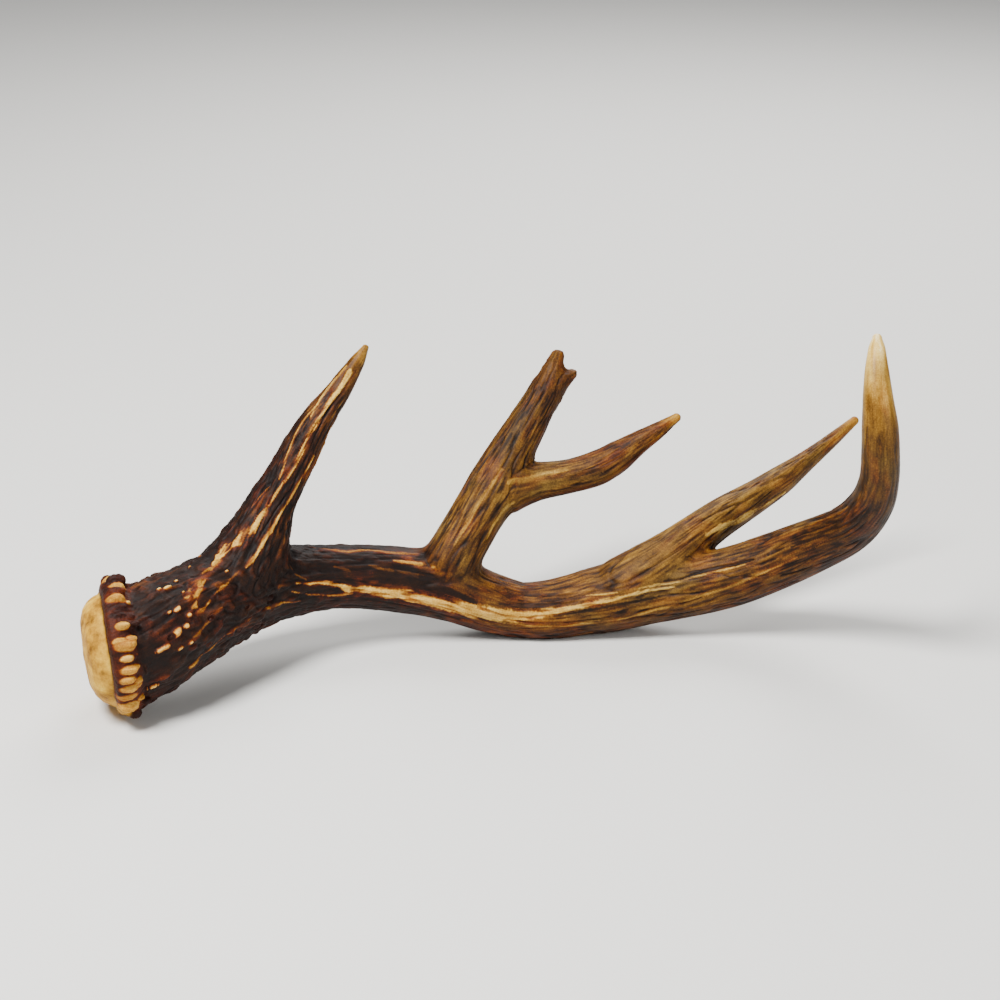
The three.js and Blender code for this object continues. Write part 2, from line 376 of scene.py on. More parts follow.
def noise(points, seed):
    """Gradient noise from about -1 to 1, with one swing per unit of length."""
    draw = np.random.default_rng(seed)
    order = draw.permutation(256)
    slopes = unit(draw.normal(size=(256, 3))).astype(np.float32)
    cell = np.floor(points).astype(np.int32)
    inside = (points - cell).astype(np.float32)
    fade = inside ** 3 * (inside * (inside * 6 - 15) + 10)
    total = np.zeros(len(points), np.float32)
    for corner in np.ndindex(2, 2, 2):
        x, y, z = (cell + corner).T & 255
        slope = slopes[order[(order[(order[x] + y) & 255] + z) & 255]]
        reach = np.einsum("ij,ij->i", slope, inside - np.array(corner, np.float32))
        share = np.where(corner, fade, 1 - fade).prod(axis=1)
        total += reach * share
    return total * 1.7


def mesh_object(name, points_mm, faces):
    mesh = bpy.data.meshes.new(name)
    mesh.from_pydata((np.asarray(points_mm) * MM).tolist(), [], faces)
    thing = bpy.data.objects.new(name, mesh)
    bpy.context.scene.collection.objects.link(thing)
    return thing


def flattened(thing):
    """The object's evaluated shape as a plain mesh, with its modifiers removed."""
    bpy.context.view_layer.update()
    evaluated = thing.evaluated_get(bpy.context.evaluated_depsgraph_get())
    mesh = bpy.data.meshes.new_from_object(evaluated)
    thing.modifiers.clear()
    thing.data = mesh
    return thing


def set_inputs(modifier, values):
    """Sets a Geometry Nodes modifier's inputs, each found by its socket's identifier."""
    for socket in modifier.node_group.interface.items_tree:
        if socket.item_type == "SOCKET" and socket.in_out == "INPUT" and socket.name in values:
            modifier[socket.identifier] = values[socket.name]


def points_of(mesh):
    """A mesh's points in millimetres."""
    flat = np.empty(len(mesh.vertices) * 3, np.float32)
    mesh.vertices.foreach_get("co", flat)
    return flat.reshape(-1, 3).astype(np.float64) / MM


def set_points(mesh, points_mm):
    mesh.vertices.foreach_set("co", (points_mm * MM).astype(np.float32).ravel())


# ---------------------------------------------------------------------------------------------
# The limbs as measured lines
# ---------------------------------------------------------------------------------------------
def smooth_line(rows):
    """The centripetal curve through the rows, sampled evenly, with the radius at each sample."""
    rows = np.array(rows, float)
    places = rows[:, :3] + BURR_CENTRE
    ends = [2 * places[0] - places[1], 2 * places[-1] - places[-2]]
    padded = np.vstack([ends[:1], places, ends[1:]])
    shares = np.linspace(0, 1, CURVE_STEPS, endpoint=False)[:, None]
    dense, radii = [], []
    for i in range(len(places) - 1):
        p0, p1, p2, p3 = padded[i:i + 4]
        a, b, c = (np.linalg.norm(q - p) ** 0.5 for p, q in ((p0, p1), (p1, p2), (p2, p3)))
        leave = ((p1 - p0) / a - (p2 - p0) / (a + b) + (p2 - p1) / b) * b
        arrive = ((p2 - p1) / b - (p3 - p1) / (b + c) + (p3 - p2) / c) * b
        square = (3 * (p2 - p1) - 2 * leave - arrive) * shares ** 2
        cube = (2 * (p1 - p2) + leave + arrive) * shares ** 3
        dense.append(p1 + leave * shares + square + cube)
        radii.append(rows[i, 3] + (rows[i + 1, 3] - rows[i, 3]) * shares[:, 0])
    dense = np.vstack(dense + [places[-1:]])
    radii = np.append(np.concatenate(radii), rows[-1, 3])
    along = np.append(0, np.cumsum(np.linalg.norm(np.diff(dense, axis=0), axis=1)))
    even = np.linspace(0, along[-1], int(along[-1] / SAMPLE_STEP) + 1)
    line = np.stack([np.interp(even, along, dense[:, axis]) for axis in range(3)], axis=1)
    return line, np.interp(even, along, radii), even


class Limb:
    """A limb's middle line, its radius and the two directions across it."""

    def __init__(self, name, rows):
        self.name = name
        self.line, self.radii, self.along = smooth_line(rows)
        self.length = self.along[-1]
        self.last = (self.length - self.radii[-1]) / SAMPLE_STEP
        self.tangents = unit(np.gradient(self.line, axis=0))
        self.across = unit(np.cross(FRONT, self.tangents))
        self.toward = unit(np.cross(self.tangents, self.across))
        self.looks = np.array(LOOKS[name])

    def at(self, share):
        """The point, direction, radius and front direction at a share of the length."""
        index = int(round(share * (len(self.line) - 1)))
        return self.line[index], self.tangents[index], self.radii[index], self.toward[index]

    def nearest(self, points):
        """For each point: the offset from the middle line, and the sample place along it."""
        squares = (self.line ** 2).sum(axis=1)
        index = np.concatenate([
            np.argmin(squares - 2 * points[i:i + CHUNK] @ self.line.T, axis=1)
            for i in range(0, len(points), CHUNK)
        ])
        index = np.clip(index, 1, len(self.line) - 2)
        start = self.line[index - 1]
        chord = self.line[index + 1] - start
        share = ((points - start) * chord).sum(axis=1) / (chord ** 2).sum(axis=1)
        least = np.where((index == 1) & (self.name == "beam"), -BEFORE_BEAM, 0)
        place = np.minimum(index - 1 + 2 * np.clip(share, least, 1), self.last)
        return points - self.sampled(self.line, place), place

    def sampled(self, values, place):
        """Values given at each sample, read at places between them."""
        before = np.clip(place.astype(int), 0, len(self.line) - 2)
        share = place - before
        if values.ndim > 1:
            share = share[:, None]
        return values[before] * (1 - share) + values[before + 1] * share


LIMBS = {name: Limb(name, rows) for name, rows in LIMB_ROWS.items()}
# The limb that each limb grows out of, by its place in LIMBS. The beam stands for itself.
FORKED = list(LIMBS).index("forked")
PARENTS = np.array([FORKED if name in ("nub", "prong") else 0 for name in LIMBS])
# A tine starts inside its parent, so its root is drawn in by this much over this length.
ROOTS = {"brow": (3, 10), "forked": (6, 18), "nub": (1, 4), "prong": (2.5, 12), "third": (3, 18)}
# How softly each tine grows out of its parent, in millimetres.
WEBS = {"beam": 1.5, "brow": 5.2, "forked": 2.2, "nub": 2.2, "prong": 1.8, "third": 0.9}
# Where a tine's side and its parent's face the same way, they flow together this softly, and
# this share of the swelling that comes with it is taken off.
FLAT_WEB = 6.0
FLATTENING = 0.7


def limb_gaps(points):
    """How far each point is outside each limb's skin, and the direction away from its line."""
    gaps, slopes, places = [], [], []
    for name, limb in LIMBS.items():
        offset, place = limb.nearest(points)
        away = np.linalg.norm(offset, axis=1)
        gap = away - limb.sampled(limb.radii, place)
        if name in ROOTS:
            shrink, length = ROOTS[name]
            behind = np.maximum((limb.line[0] - points) @ limb.tangents[0], 0) * (place <= 0)
            gap = gap + shrink * (1 - rise(0, length, place * SAMPLE_STEP)) + behind
        gaps.append(gap)
        slopes.append(offset / np.maximum(away, 1e-6)[:, None])
        places.append(place)
    return np.array(gaps), slopes, places


def skin_distance(points, softness):
    """Distance to the limbs' common skin, whose forks are webbed, and the way out from it."""
    gaps, slopes, _ = limb_gaps(points)
    nearest = gaps.min(axis=0)
    tine = gaps[1:].argmin(axis=0) + 1
    slopes = np.array(slopes)
    row = np.arange(len(points))
    level = rise(0.0, 0.9, (slopes[tine, row] * slopes[PARENTS[tine], row]).sum(axis=1))
    web = np.array(list(WEBS.values()))[tine]
    web = softness * (web + (FLAT_WEB - web) * level)
    shares = np.exp((nearest - gaps) / web)
    total = shares.sum(axis=0)
    swelling = 2 * (1 - shares.max(axis=0) / total) * math.log(2)
    way = sum(share[:, None] * slope for share, slope in zip(shares, slopes))
    return nearest - web * (np.log(total) - FLATTENING * level * swelling), unit(way)


# ---------------------------------------------------------------------------------------------
# The burr
# ---------------------------------------------------------------------------------------------
BURR_RING_RADIUS = 28.3
# The burr's outline: distance from its axis, and height towards the seal.
BURR_PROFILE = [
    (0, 11), (8, 10.8), (14, 10.1), (18.4, 8.6), (21.2, 6.4), (23, 3.6), (24, 1.2), (25.2, 0.5),
    (27, 0.3), (28.2, -0.6), (28.6, -2.4), (28.3, -5.6), (27.4, -8.2), (25.6, -10), (23.5, -11.5),
    (22, -15), (0, -15),
]
BURR_FACETS = 96
BEAD_HEIGHT = -5.2
# A second row of smaller beads stands behind the first, towards the beam.
HIND_COUNT = 30
HIND_RADIUS = 25.6
HIND_HEIGHT = -10.2
# Where the burr ends and the beam begins, and over what length the beam's own skin takes over.
BURR_FOOT = -11.0
BURR_BLEND = 6.0


def burr_turn():
    """The turn from the burr's own frame, with its axis along +Z, to the antler's."""
    lay = Matrix.Rotation(-math.pi / 2, 4, "Y")
    tip = Matrix.Rotation(-math.radians(BURR_TIP_DEG), 4, "Y")
    turn = Matrix.Rotation(math.radians(BURR_TURN_DEG), 4, "Z")
    return turn @ tip @ lay


BURR_AXES = np.array(burr_turn().to_3x3())


def in_burr(points):
    """Points in the burr's own frame: height towards the seal, distance from the axis, angle."""
    local = (points - BURR_CENTRE) @ BURR_AXES
    return local[:, 2], np.hypot(local[:, 0], local[:, 1]), np.arctan2(local[:, 1], local[:, 0])


def burr_blank():
    """The burr and seal without beads, turned about their axis, as points and faces."""
    angles = np.linspace(0, 2 * np.pi, BURR_FACETS, endpoint=False)
    rings = [(r * np.cos(angles), r * np.sin(angles), np.full(BURR_FACETS, h)) for r, h in BURR_PROFILE[1:-1]]
    points = [np.array([[0, 0, BURR_PROFILE[0][1]]])] + [np.stack(ring, axis=1) for ring in rings]
    points = np.vstack(points + [np.array([[0, 0, BURR_PROFILE[-1][1]]])])
    last = len(points) - 1
    faces = []
    for i in range(BURR_FACETS):
        j = (i + 1) % BURR_FACETS
        faces.append((0, 1 + i, 1 + j))
        for ring in range(len(rings) - 1):
            low, high = 1 + ring * BURR_FACETS, 1 + (ring + 1) * BURR_FACETS
            faces.append((low + i, high + i, high + j, low + j))
        base = last - BURR_FACETS
        faces.append((last, base + j, base + i))
    return points @ BURR_AXES.T + BURR_CENTRE, faces


# ---------------------------------------------------------------------------------------------
# Geometry Nodes: a limb swept along its line, the burr's ring of beads, the stem's pearls
# ---------------------------------------------------------------------------------------------
def new_tree(name, sockets):
    """An empty Geometry Nodes tree with named inputs: name, socket type and default."""
    tree = bpy.data.node_groups.new(name, "GeometryNodeTree")
    tree.interface.new_socket("Geometry", in_out="INPUT", socket_type="NodeSocketGeometry")
    for label, kind, default in sockets:
        socket = tree.interface.new_socket(label, in_out="INPUT", socket_type=kind)
        if default is not None:
            socket.default_value = default
    tree.interface.new_socket("Geometry", in_out="OUTPUT", socket_type="NodeSocketGeometry")
    return tree, add_node(tree, "NodeGroupInput").outputs


def end_tree(tree, geometry, material):
    """Every tree ends in real geometry with its material set."""
    real = add_node(tree, "GeometryNodeRealizeInstances", inputs={"Geometry": geometry})
    painted = add_node(tree, "GeometryNodeSetMaterial",
                       inputs={"Geometry": real.outputs[0], "Material": material})
    add_node(tree, "NodeGroupOutput", inputs={"Geometry": painted.outputs[0]})
    return tree


def limb_tree():
    tree, given = new_tree("Swept limb", [
        ("Sides", "NodeSocketInt", 48),
        ("Girth", "NodeSocketFloat", 1.0),
        ("Material", "NodeSocketMaterial", None),
    ])
    line = add_node(tree, "GeometryNodeMeshToCurve", inputs={"Mesh": given["Geometry"]})
    section = add_node(tree, "GeometryNodeCurvePrimitiveCircle",
                       inputs={"Resolution": given["Sides"], "Radius": 1.0})
    radius = add_node(tree, "GeometryNodeInputNamedAttribute", {"data_type": "FLOAT"}, {"Name": "radius_m"})
    scale = add_node(tree, "ShaderNodeMath", {"operation": "MULTIPLY"},
                     {0: radius.outputs["Attribute"], 1: given["Girth"]})
    swept = add_node(tree, "GeometryNodeCurveToMesh", inputs={
        "Curve": line.outputs["Curve"], "Profile Curve": section.outputs["Curve"],
        "Scale": scale.outputs[0], "Fill Caps": True})
    return end_tree(tree, swept.outputs["Mesh"], given["Material"])


def bead_sizes(tree, given):
    """An uneven size for each bead: its three half sizes times a random factor."""
    spread = add_node(tree, "FunctionNodeRandomValue", {"data_type": "FLOAT"},
                      {2: given["Smallest"], 3: given["Largest"], "Seed": given["Seed"]})
    half = add_node(tree, "ShaderNodeCombineXYZ",
                    inputs={"X": given["Half Height"], "Y": given["Half Width"], "Z": given["Half Length"]})
    return add_node(tree, "ShaderNodeVectorMath", {"operation": "SCALE"},
                    {0: half.outputs[0], "Scale": spread.outputs[1]}).outputs[0]


BEAD_SOCKETS = [
    ("Half Height", "NodeSocketFloat", 0.0018),
    ("Half Width", "NodeSocketFloat", 0.0016),
    ("Half Length", "NodeSocketFloat", 0.003),
    ("Smallest", "NodeSocketFloat", 0.75),
    ("Largest", "NodeSocketFloat", 1.25),
    ("Seed", "NodeSocketInt", 5),
    ("Material", "NodeSocketMaterial", None),
]


def bead_ring_tree():
    tree, given = new_tree("Burr beads", [
        ("Count", "NodeSocketInt", 44), ("Ring Radius", "NodeSocketFloat", 0.028),
        ("Wander", "NodeSocketFloat", 0.001)] + BEAD_SOCKETS)
    ring = add_node(tree, "GeometryNodeMeshCircle", inputs={
        "Vertices": given["Count"], "Radius": given["Ring Radius"]})
    stray = add_node(tree, "FunctionNodeRandomValue", {"data_type": "FLOAT_VECTOR"},
                     {0: (-1.0, -1.0, -1.0), 1: (1.0, 1.0, 1.0), "Seed": given["Seed"]})
    shift = add_node(tree, "ShaderNodeVectorMath", {"operation": "SCALE"},
                     {0: stray.outputs[0], "Scale": given["Wander"]})
    moved = add_node(tree, "GeometryNodeSetPosition",
                     inputs={"Geometry": ring.outputs[0], "Offset": shift.outputs[0]})
    place = add_node(tree, "GeometryNodeInputPosition")
    outward = add_node(tree, "FunctionNodeAlignRotationToVector", {"axis": "X", "pivot_axis": "Z"},
                       {"Vector": place.outputs[0]})
    bead = add_node(tree, "GeometryNodeMeshIcoSphere", inputs={"Radius": 1.0, "Subdivisions": 2})
    beads = add_node(tree, "GeometryNodeInstanceOnPoints", inputs={
        "Points": moved.outputs[0], "Instance": bead.outputs["Mesh"],
        "Rotation": outward.outputs[0], "Scale": bead_sizes(tree, given)})
    return end_tree(tree, beads.outputs[0], given["Material"])


def pearl_tree():
    tree, given = new_tree("Stem pearls", [
        ("Spacing", "NodeSocketFloat", 0.008), ("Density", "NodeSocketFloat", 9000.0),
        ("Grain", "NodeSocketVector", (1.0, 0.0, 0.0))] + BEAD_SOCKETS)
    spots = add_node(tree, "GeometryNodeDistributePointsOnFaces", {"distribute_method": "POISSON"}, {
        "Mesh": given["Geometry"], "Distance Min": given["Spacing"], "Density Max": given["Density"],
        "Seed": given["Seed"]})
    upright = add_node(tree, "FunctionNodeAlignRotationToVector", {"axis": "X", "pivot_axis": "AUTO"},
                       {"Vector": spots.outputs["Normal"]})
    turned = add_node(tree, "FunctionNodeAlignRotationToVector", {"axis": "Z", "pivot_axis": "X"},
                      {"Rotation": upright.outputs[0], "Vector": given["Grain"]})
    bead = add_node(tree, "GeometryNodeMeshIcoSphere", inputs={"Radius": 1.0, "Subdivisions": 2})
    pearls = add_node(tree, "GeometryNodeInstanceOnPoints", inputs={
        "Points": spots.outputs["Points"], "Instance": bead.outputs["Mesh"],
        "Rotation": turned.outputs[0], "Scale": bead_sizes(tree, given)})
    return end_tree(tree, pearls.outputs[0], given["Material"])


# An ico sphere of two subdivisions has this many points.
BEAD_POINTS = 42
# How far a point may be from a bead's middle, in millimetres, to be measured from it.
BEAD_REACH = 9
FAR_FROM_BEADS = 3.0
# Beads within this height of the burr's middle, in millimetres, are mostly rubbed to cream.
WORN_HALF_HEIGHT = 19
WORN_SHARES = {"stem": 0.12, "middle": 0.85, "edge": 0.2}
CREAM_BEAD_TONES = (0.74, 0.92)
DARK_BEAD_TONES = (0.14, 0.34)
STEM_PEARL_DIMNESS = 0.66


def bead_fields(points, blobs):
    """How near each point is to a bead (1 on its skin, 0 at its heart, 3 far), and its tone."""
    closeness = np.full(len(points), FAR_FROM_BEADS)
    tones = np.zeros(len(points))
    draw = np.random.default_rng(SEEDS["burr"])
    beads = points_of(blobs).reshape(-1, BEAD_POINTS, 3)
    for bead in beads:
        centre = bead.mean(axis=0)
        shape = np.linalg.inv(3 * np.cov((bead - centre).T, bias=True))
        offset = points - centre
        near = np.nonzero((np.abs(offset) < BEAD_REACH).all(axis=1))[0]
        offset = offset[near]
        stretch = np.sqrt(np.einsum("ij,jk,ik->i", offset, shape, offset))
        height, _, _ = in_burr(centre[None])
        on_stem = height[0] < BURR_FOOT
        middle = abs(centre[2] - BURR_CENTRE[2]) < WORN_HALF_HEIGHT
        worn = draw.random() < WORN_SHARES["stem" if on_stem else "middle" if middle else "edge"]
        tone = draw.uniform(*(CREAM_BEAD_TONES if worn else DARK_BEAD_TONES))
        tone *= STEM_PEARL_DIMNESS if on_stem else 1
        nearer = stretch < closeness[near]
        tones[near[nearer]] = tone
        closeness[near] = np.minimum(closeness[near], stretch)
    return closeness, tones


# ---------------------------------------------------------------------------------------------
# The bone: one surface over limbs, burr and beads
# ---------------------------------------------------------------------------------------------
def neighbour_mean(points, edges):
    """The middle of each point's neighbours."""
    count = np.bincount(edges.ravel(), minlength=len(points))
    sums = []
    for axis in range(3):
        forth = np.bincount(edges[:, 0], points[edges[:, 1], axis], len(points))
        back = np.bincount(edges[:, 1], points[edges[:, 0], axis], len(points))
        sums.append(forth + back)
    return np.stack(sums, axis=1) / np.maximum(count, 1)[:, None]


def point_normals(points, triangles):
    a, b, c = (points[triangles[:, i]] for i in range(3))
    facing = np.cross(b - a, c - a)
    sums = [
        sum(np.bincount(triangles[:, i], facing[:, axis], len(points)) for i in range(3))
        for axis in range(3)
    ]
    return unit(np.stack(sums, axis=1))


def mesh_lists(mesh):
    """A mesh's edges and its triangles as arrays."""
    edges = np.empty(len(mesh.edges) * 2, np.int32)
    mesh.edges.foreach_get("vertices", edges)
    mesh.calc_loop_triangles()
    triangles = np.empty(len(mesh.loop_triangles) * 3, np.int32)
    mesh.loop_triangles.foreach_get("vertices", triangles)
    return edges.reshape(-1, 2), triangles.reshape(-1, 3)


FIT_ROUNDS = 4
# Each round moves a point by this share of the way to its neighbours' middle, along and off the skin.
SLIDE_SHARE = 0.6
LIFT_SHARE = 0.35
# Nearer to a bead than the first, in its own half sizes, the skin is left as it was fused, and
# beyond the second it is fitted in full.
BEAD_SKIN = (1.3, 2.0)


def fitted(mesh, beads, softness):
    """The fused mesh's points, drawn onto the limbs' common skin and evened out."""
    points = points_of(mesh)
    edges, triangles = mesh_lists(mesh)
    height, _, _ = in_burr(points)
    bead_free = rise(*BEAD_SKIN, bead_fields(points, beads)[0])
    hold = bead_free * (1 - rise(BURR_FOOT - BURR_BLEND, BURR_FOOT, height))
    for _ in range(FIT_ROUNDS):
        normals = point_normals(points, triangles)
        slide = neighbour_mean(points, edges) - points
        lift = (slide * normals).sum(axis=1)[:, None] * normals
        points += SLIDE_SHARE * (slide - lift) + LIFT_SHARE * lift
        distance, way = skin_distance(points, softness)
        points -= (hold * distance)[:, None] * way
    return points


# A cut takes in the faces this near to its plane, and this near to the limb's line: so many
# radii and a little more, in millimetres.
CUT_DEPTH = 2
CUT_RADII = 1.9
CUT_SPARE = 3


def part_faces(bm):
    """Cuts the surface where the limbs part and numbers each face with its piece."""
    bm.faces.ensure_lookup_table()
    centres = np.array([face.calc_center_median() for face in bm.faces]) / MM
    cuts = []
    for name, share in PARTINGS:
        centre, tangent, radius, _ = LIMBS[name].at(share)
        offset = centres - centre
        near_plane = np.abs(offset @ tangent) < CUT_DEPTH
        near_line = np.linalg.norm(offset, axis=1) < CUT_RADII * radius + CUT_SPARE
        chosen = np.nonzero(near_plane & near_line)[0]
        cuts.append((centre, tangent, [bm.faces[i] for i in chosen]))
    for edge in bm.edges:
        edge.seam = False
    for centre, tangent, faces in cuts:
        edges = {edge for face in faces for edge in face.edges}
        corners = {corner for face in faces for corner in face.verts}
        cut = bmesh.ops.bisect_plane(
            bm, geom=[*corners, *edges, *faces], dist=1e-6,
            plane_co=Vector(centre * MM), plane_no=Vector(tangent))
        for part in cut["geom_cut"]:
            if isinstance(part, bmesh.types.BMEdge):
                part.seam = True
    number = bm.faces.layers.int.new("part")
    for face in bm.faces:
        face[number] = -1
    bm.faces.ensure_lookup_table()
    centres = np.array([face.calc_center_median() for face in bm.faces]) / MM
    for index, (name, (limb, share)) in enumerate(PIECES.items()):
        centre, _, radius, toward = LIMBS[limb].at(share)
        nearest = np.argmin(((centres - centre - toward * radius) ** 2).sum(axis=1))
        start = bm.faces[int(nearest)]
        if start[number] != -1:
            raise RuntimeError(f"{name} isn't parted from its neighbour")
        front = [start]
        start[number] = index
        while front:
            face = front.pop()
            for edge in face.edges:
                if edge.seam:
                    continue
                for other in edge.link_faces:
                    if other[number] == -1:
                        other[number] = index
                        front.append(other)
    loose = [face for face in bm.faces if face[number] == -1]
    bmesh.ops.delete(bm, geom=loose, context="FACES")


class Skin:
    """The bone's surface, measured along and around every limb that it belongs to."""

    # Over how many millimetres one limb's grain, and its looks, hand over to the next one's.
    SHARP = 3.2
    SOFT = 7.0
    # A limb with a smaller share of a point than this is left out there.
    FEWEST = 0.02
    # The parent's grain rules until the tine is this many root lengths on its way.
    HANDOVER = 1.5

    def __init__(self, points):
        self.points = points
        gaps, _, places = limb_gaps(points)
        depth = gaps.min(axis=0) - gaps
        sharp = np.exp(depth / self.SHARP)
        soft = np.exp(depth / self.SOFT)
        own = sharp / sharp.sum(axis=0)
        for index, name in enumerate(LIMBS):
            if name in ROOTS:
                begun = rise(0, ROOTS[name][1] * self.HANDOVER, places[index] * SAMPLE_STEP)
                sharp[index] *= begun
                soft[index] *= begun
        sharp /= sharp.sum(axis=0)
        soft /= soft.sum(axis=0)
        self.parts = []
        for index, (name, limb) in enumerate(LIMBS.items()):
            chosen = np.nonzero(np.maximum(soft[index], own[index]) > self.FEWEST)[0]
            place = places[index][chosen]
            offset = points[chosen] - limb.sampled(limb.line, place)
            across = (offset * limb.sampled(limb.across, place)).sum(axis=1)
            toward = (offset * limb.sampled(limb.toward, place)).sum(axis=1)
            self.parts.append({
                "name": name, "index": index, "limb": limb, "chosen": chosen,
                "sharp": sharp[index][chosen], "soft": soft[index][chosen], "own": own[index][chosen],
                "along": place * SAMPLE_STEP, "radius": limb.sampled(limb.radii, place),
                "turn": np.arctan2(across, toward),
            })

    def blended(self, values, share):
        """One value for each point, from a function that gives it for each limb's part."""
        total = np.zeros(len(self.points))
        weight = np.zeros(len(self.points))
        for part in self.parts:
            total[part["chosen"]] += part[share] * values(part)
            weight[part["chosen"]] += part[share]
        return total / np.maximum(weight, 1e-6)

    def look(self, column):
        return self.blended(lambda part: np.interp(
            part["along"] / part["limb"].length, part["limb"].looks[:, 0],
            part["limb"].looks[:, column]), "soft")

    def spots(self, part, stretch):
        """Places on a limb's part that are drawn together along it."""
        girth = part["radius"] ** 0.35 * REFERENCE_RADIUS ** 0.65
        return np.stack([
            np.cos(part["turn"]) * girth, np.sin(part["turn"]) * girth, part["along"] / stretch], axis=1)

    def grain(self, seed, width, stretch):
        """Noise drawn out along the limbs: width in mm across them, stretch times that along."""
        return self.blended(lambda part: noise(
            self.spots(part, stretch) / width + 37.0 * (1 + part["index"]), seed), "sharp")

    def streak_places(self, stretch):
        """The places that the finish draws its finest streaks in."""
        return np.stack([
            self.blended(lambda part: self.spots(part, stretch)[:, axis] + 90.0 * part["index"], "sharp")
            for axis in range(3)], axis=1)

    def even(self, seed, width):
        return noise(self.points / width + 50.0, seed)

    def reach(self, name, course, ragged):
        """How far each point is from a mark's middle, in half widths of the mark."""
        reach = np.full(len(self.points), 9.0)
        along, turn, half = np.array(course, float).T
        along = along + BEAM_MARKS_START * (name == "beam")
        for part in self.parts:
            if part["name"] != name:
                continue
            target = np.radians(np.interp(part["along"], along, turn))
            width = np.interp(part["along"], along, half)
            aside = np.abs((part["turn"] - target + np.pi) % (2 * np.pi) - np.pi) * part["radius"]
            beyond = np.maximum(np.maximum(along[0] - part["along"], part["along"] - along[-1]), 0)
            away = 4 * (1 - rise(0.1, 0.45, part["own"]))
            reach[part["chosen"]] = np.hypot(aside, beyond) / width + ragged[part["chosen"]] + away
        return reach


# Noise drawn out along the limbs: its width across them in millimetres, and how many times
# longer it is along them.
GRAINS = {
    "broad": (6.0, 9),
    "medium": (2.8, 10),
    "thin": (1.2, 9),
    "ridge": (2.6, 13),
    "gap": (6.0, 3),
    "mottle": (9.0, 2.5),
    "patch": (3.5, 3.5),
    "knob": (3.6, 1.8),
    "serration": (2.4, 2.2),
    "edge": (1.6, 4),
    "rust": (7.0, 2),
    "olive": (10.0, 2),
}
# Noise that is alike in every direction, by its width in millimetres.
SWELL_SIZE = 26.0
SEAL_SWELL_SIZE = 8.0
PORE_SPACING = 1.1
# Where the burr stands on the ground, the seal's cream spreads this far over the worn lip.
LOW_SPREAD = 5.5
# Bone darker than this is stained black-brown, and reddens in patches and round each mark.
DARK_TONE = 0.3


